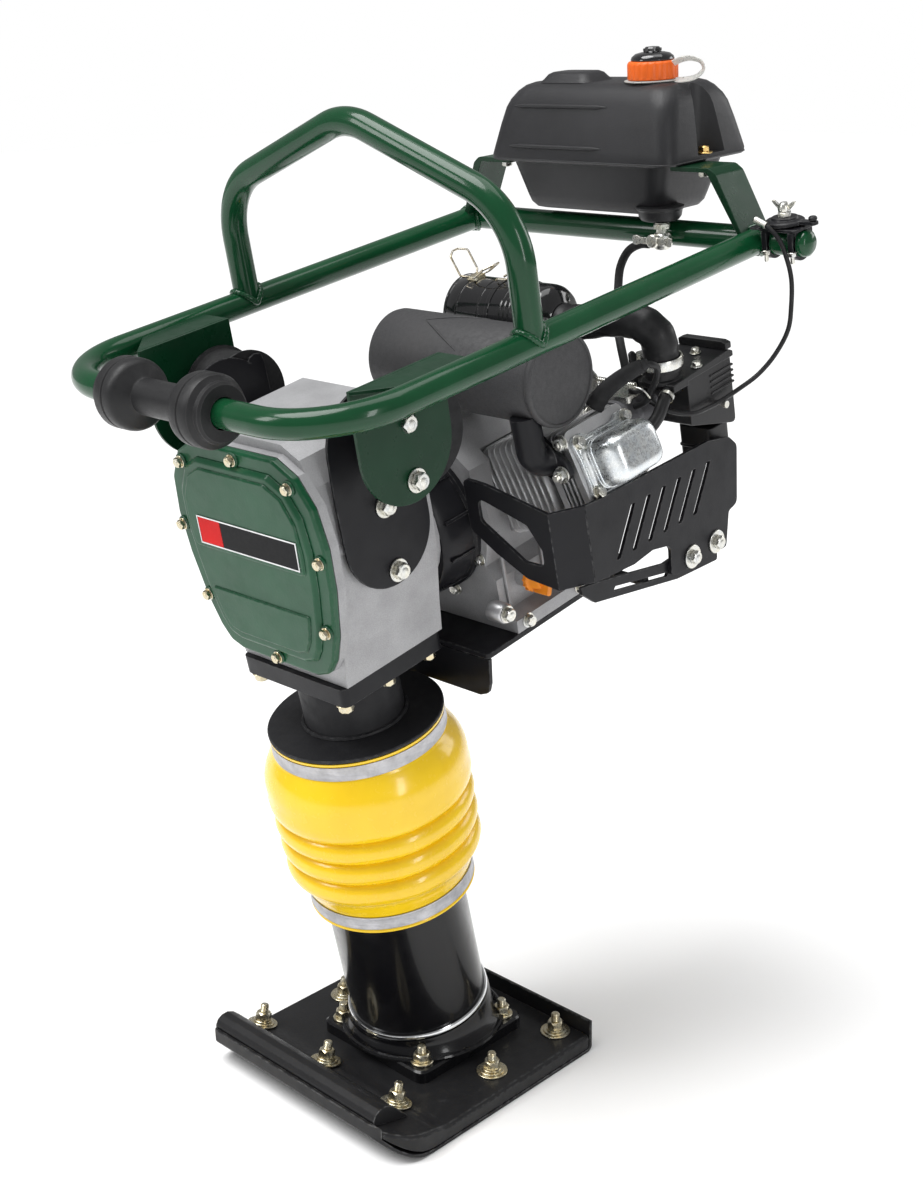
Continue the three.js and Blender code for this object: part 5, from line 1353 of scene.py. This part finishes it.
def build_starter():
    """Recoil starter cover: louvred dome, rope eye, grip and screws."""
    z = CRANK_Z
    shroud = revolve([[0, 262.4], [98.6, 262.4], [100, 264], [100, 316], [98, 321], [93, 326], [89, 331],
                      [86.6, 340], [84.4, 362], [81.5, 369], [75, 373.2], [60, 374], [58, 372.6],
                      [0, 372.6]], "y",
                      (0, 0, z), 96)
    piece("starter_shroud", [shroud], "black_paint", ["starter_housing"], crease=32)
    hub = revolve([[0, 372.8], [22, 372.8], [22, 375.6], [19, 377], [0, 377]], "y", (0, 0, z), 48)
    louvres = []
    for k in range(20):
        a = radians(18 * k)
        if 70 < 18 * k < 110:
            continue
        turn = Matrix.Translation((0, 0, z)) @ Matrix.Rotation(a, 4, "Y")
        louvres += placed(turn, prism(fillet([(30, -2.0), (54, -4.2), (54, 4.2), (30, 2.0)], 1.6), 372.7,
                                      374.6, "y"))
    eye = placed(Matrix.Translation((0, 0, 42)), prism(rect(-13, 13, z - 12, z + 12, 6, 5), 374.2, 378, "y"))
    piece("starter_louvres", [hub, *louvres, *eye], "black_plastic", bevel=0.5)
    screws = []
    for k in range(4):
        a = radians(45 + 90 * k)
        screws += bolt((94 * cos(a), 326.4, z + 94 * sin(a)), (0, 1, 0), 5.4, 4.2, 7.2, 1.2)
    piece("starter_screws", screws, "zinc")
    grip = revolve([[0, -34], [6, -34], [8.4, -32.4], [9.8, -27], [9.2, -14], [8.6, 0], [9.2, 14], [9.8, 27],
                    [8.4, 32.4], [6, 34], [0, 34]], "x", (0, 392, 642), 40)
    piece("pull_grip", [grip], "black_plastic", ["starter_grip"], body="starter_handle", crease=50)
    rope = tube([(0, 378.3 + 0.5 * k, 642) for k in range(9)], lambda s: 2 + 0.15 * sin(40 * s), 16)
    piece("pull_rope", [rope], "rubber", ["starter_rope"], body="starter_handle")


def guard_slots():
    out = []
    for k in range(6):
        y, z = 349 - 24.5 * k, 614 + 1.2 * k
        out.append(fillet([(y - 3, z), (y + 4, z), (y - 28, z - 47), (y - 35, z - 47)], 3.2, 3))
    return out


def build_guard():
    """Folded and slotted guard, its brace with a slot, and the base plate."""
    side = fillet([(158.5, 647), (176, 645), (352, 635), (386, 626), (398, 613), (389, 550), (374, 547),
                   (364, 510), (281, 516), (271, 520), (275, 552), (247, 559.5), (217, 557.5), (158.5, 565)],
                  [0, 4, 14, 8, 10, 8, 5, 5, 5, 3, 9, 6, 6, 0], 4)
    panel = prism(side, 207.2, 211, "x", holes=guard_slots())
    fold = prism([(190, 128), (211, 158), (207.2, 158.4), (188, 131.8)], 565.6, 647, "z")
    wing_side = fillet([(82, 680 - 14), (110, 664), (190, 646.8), (190, 566), (150, 570), (112, 590),
                        (82, 610)],
                       [8, 6, 0, 0, 10, 16, 8], 4)
    window = fillet([(98, 648), (160, 630), (176, 606), (176, 588), (150, 588), (98, 622)], 8, 4)
    wing = prism(wing_side, 128, 131.8, "y", holes=[window])
    piece("guard_panel", [panel], "black_paint", ["engine_guard"], bevel=0.6)
    piece("guard_fold", [fold], "black_paint", ["engine_guard"])
    piece("guard_wing", [wing], "black_paint", ["engine_guard"], bevel=0.6)
    truss = fillet([(142, 558), (158, 542), (285, 508), (352, 499), (356, 532), (300, 534), (266, 534),
                    (170, 560), (142, 566)], [2, 6, 4, 3, 3, 3, 3, 8, 2], 4)
    slot = fillet([(186, 541), (268, 518.5), (272, 522), (190, 545)], 1.8, 3)
    web = prism(truss, 202.8, 206.6, "x", holes=[slot])
    strut = [block(112.6, 202.6, 233, 245, 524, 528, 1), block(112.6, 116.4, 233, 245, 494.4, 523.9, 1)]
    piece("brace_web", [web], "black_paint", ["guard_stay"], bevel=0.6)
    piece("brace_strut", strut, "black_paint", ["guard_stay"], bevel=0.6)
    bolts = []
    for y, z in ((306, 525), (347, 523.6)):
        bolts += bolt((211.1, y, z), (1, 0, 0), 7.2, 5.4, 12.4, 2.2)
    piece("guard_bolts", bolts, "zinc")
    deck = prism(rect(-104, 112, 93.2, 330, 6, 5), 485.2, 491.6, "z")
    lip = fillet([(-104, 485), (112, 485), (107, 455), (102, 443), (90, 438), (-90, 438), (-102, 446)],
                 [0, 0, 6, 8, 8, 8, 8], 4)
    piece("base_deck", [deck], "black_paint", ["engine_base_plate"], bevel=1.0)
    piece("base_lip", [prism(lip, 93.2, 98, "y")], "black_paint", ["engine_base_plate"], bevel=0.8)
    bell = revolve([[66, 92.5], [74.5, 92.5], [76, 94], [77.4, 104], [79, 112], [79, 132], [82, 134],
                    [82, 139.6], [66, 139.6]], "y", (0, 0, CRANK_Z + 6), 96)
    fins = [placed(Matrix.Translation((0, 0, CRANK_Z + 6)) @ Matrix.Rotation(radians(30 * k + 15), 4, "Y"),
                   block(76.4, 80.8, 100, 133, -1.6, 1.6, 0.6))[0] for k in range(12)]
    piece("clutch_bell", [bell], "black_paint", ["clutch_housing"], crease=40)
    piece("clutch_ribs", fins, "black_paint", bevel=0.5)


# ---- throttle ----

def build_throttle():
    """Plate lever on the cross tube's end, with saddles, wing nut and cable end."""
    x, y, top = 232, CROSS_Y, HANDLE_Z + TUBE
    plate = prism(fillet([(x - 21, y - 18), (x + 24, y - 18), (x + 24, y + 18), (x - 21, y + 18)], 5),
                  top + 0.3, top + 3.6)
    ears, screws = [], []
    for a in (x - 17, x + 14):
        ears.append(revolve([[TUBE + 0.4, a], [TUBE + 3.4, a], [TUBE + 3.8, a + 0.5], [TUBE + 3.8, a + 5.5],
                             [TUBE + 3.4, a + 6], [TUBE + 0.4, a + 6]], "x", (0, y, HANDLE_Z), 48))
        for s in (-1, 1):
            ears.append(block(a, a + 6, y + s * 15 - 3, y + s * 15 + 3, HANDLE_Z - 5, top + 0.2, 0.6))
            screws += bolt((a + 3, y + s * 15, HANDLE_Z - 5.2), (0, 0, -1), 4.4, 3.4, 5, 0.8, 7)
    piece("throttle_plate", [plate], "black_paint", ["throttle_clamp"], place=HANDLE, bevel=0.7)
    piece("throttle_saddles", ears, "black_paint", ["throttle_clamp"], place=HANDLE, bevel=0.4)
    piece("throttle_screws", screws, "zinc", place=HANDLE)
    base = top + 4.4
    wheel = revolve([[0, base], [18.6, base], [20, base + 1.2], [20, base + 4], [18, base + 5.4],
                     [14, base + 5.8], [13, base + 8], [0, base + 8]], at=(x, y, 0), n=56)
    arm = prism(fillet([(x + 12, y - 5), (x + 30, y - 4), (x + 37, y - 5), (x + 38, y + 4), (x + 30, y + 5),
                        (x + 12, y + 6)],
                       [0, 3, 3, 3, 3, 0]), base + 1.4, base + 5)
    tip = placed(aimed((x + 33, y, base + 5.2), (0, 0, 1)), disc(4.4, 0, 5, 1.4))
    piece("throttle_wheel", [wheel, arm, *tip], "black_paint", ["throttle_lever"], place=HANDLE,
          body="throttle", bevel=0.5)
    nut = placed(aimed((x, y, base + 8.1), (0, 0, 1)), hexagon(7.4, 0, 5, 0.8),
                 revolve([[0, 5.1], [6.2, 5.1], [6.6, 8], [5.2, 12], [3.4, 14], [0, 14.4]], n=28))
    wings = [prism(fillet([(x + s * 5.5, base + 14), (x + s * 12, base + 20), (x + s * 14.5, base + 23.4),
                           (x + s * 11, base + 23.6), (x + s * 4.5, base + 19)], 1.6), y - 1.2, y + 1.2, "y")
                           for s in (-1, 1)]
    piece("wing_nut", [*nut, *wings], "zinc", place=HANDLE, body="throttle", bevel=0.4)
    stop = prism(fillet([(x - 24, y - 27), (x - 14, y - 27), (x - 12, y - 12), (x - 24, y - 12)], 2),
                 base - 0.2, base + 2, "z")
    ferrule = tube([(213, 425.5, 849.8), (226, 425.5, 844.4)], 3.6, 20)
    piece("cable_stop", [ferrule], "zinc", place=HANDLE, bevel=0.4)
    piece("cable_bracket", [stop], "black_paint", place=HANDLE, bevel=0.4)


HOSE_ROUTE = [
    (79.7, 419.9, 816.9), (68, 419.5, 816), (52, 418, 808), (44, 412, 792), (47, 401, 771), (60, 382, 757),
    (80, 356, 747), (99, 336, 733), (109, 328, 714), (113, 325, 694), (112, 312, 676), (110, 294, 664),
    (116, 275.5, 661.2), (125.2, 273.6, 661.6),
]
CABLE_ROUTE = [
    (212, 425.5, 850), (225, 425.5, 845), (240, 426, 831), (248, 426, 812), (252, 426, 792), (251, 425, 765),
    (247, 423, 740), (236, 413, 715), (227, 395, 699), (219, 371, 690), (217.5, 345, 687), (217.5, 322, 687),
    (217, 298, 689), (210, 282, 694), (198, 272, 701), (188, 270, 706), (180.8, 270, 708),
]


def free_cord(name, route, radius, look, node):
    path = smooth(route, 8)
    cord = piece(name, [tube(path, radius, 20)], look, [node], place=HANDLE)


def build_cords():
    free_cord("fuel_line", HOSE_ROUTE, 4.6, "rubber", "fuel_hose")
    free_cord("throttle_wire", CABLE_ROUTE, 2.4, "gloss_rubber", "throttle_cable")


for build in (
    make_camera, make_studio, dress_cad_nodes, build_foot, build_leg, build_guide, build_cover,
    build_housing, build_suspension, build_frame, build_roller, build_tank, build_cap, build_tap,
    build_straps, build_muffler, build_barrel, build_valve_cover, build_filter, build_intake, build_plug,
    build_block, build_starter, build_guard, build_throttle, build_cords,
):
    build()
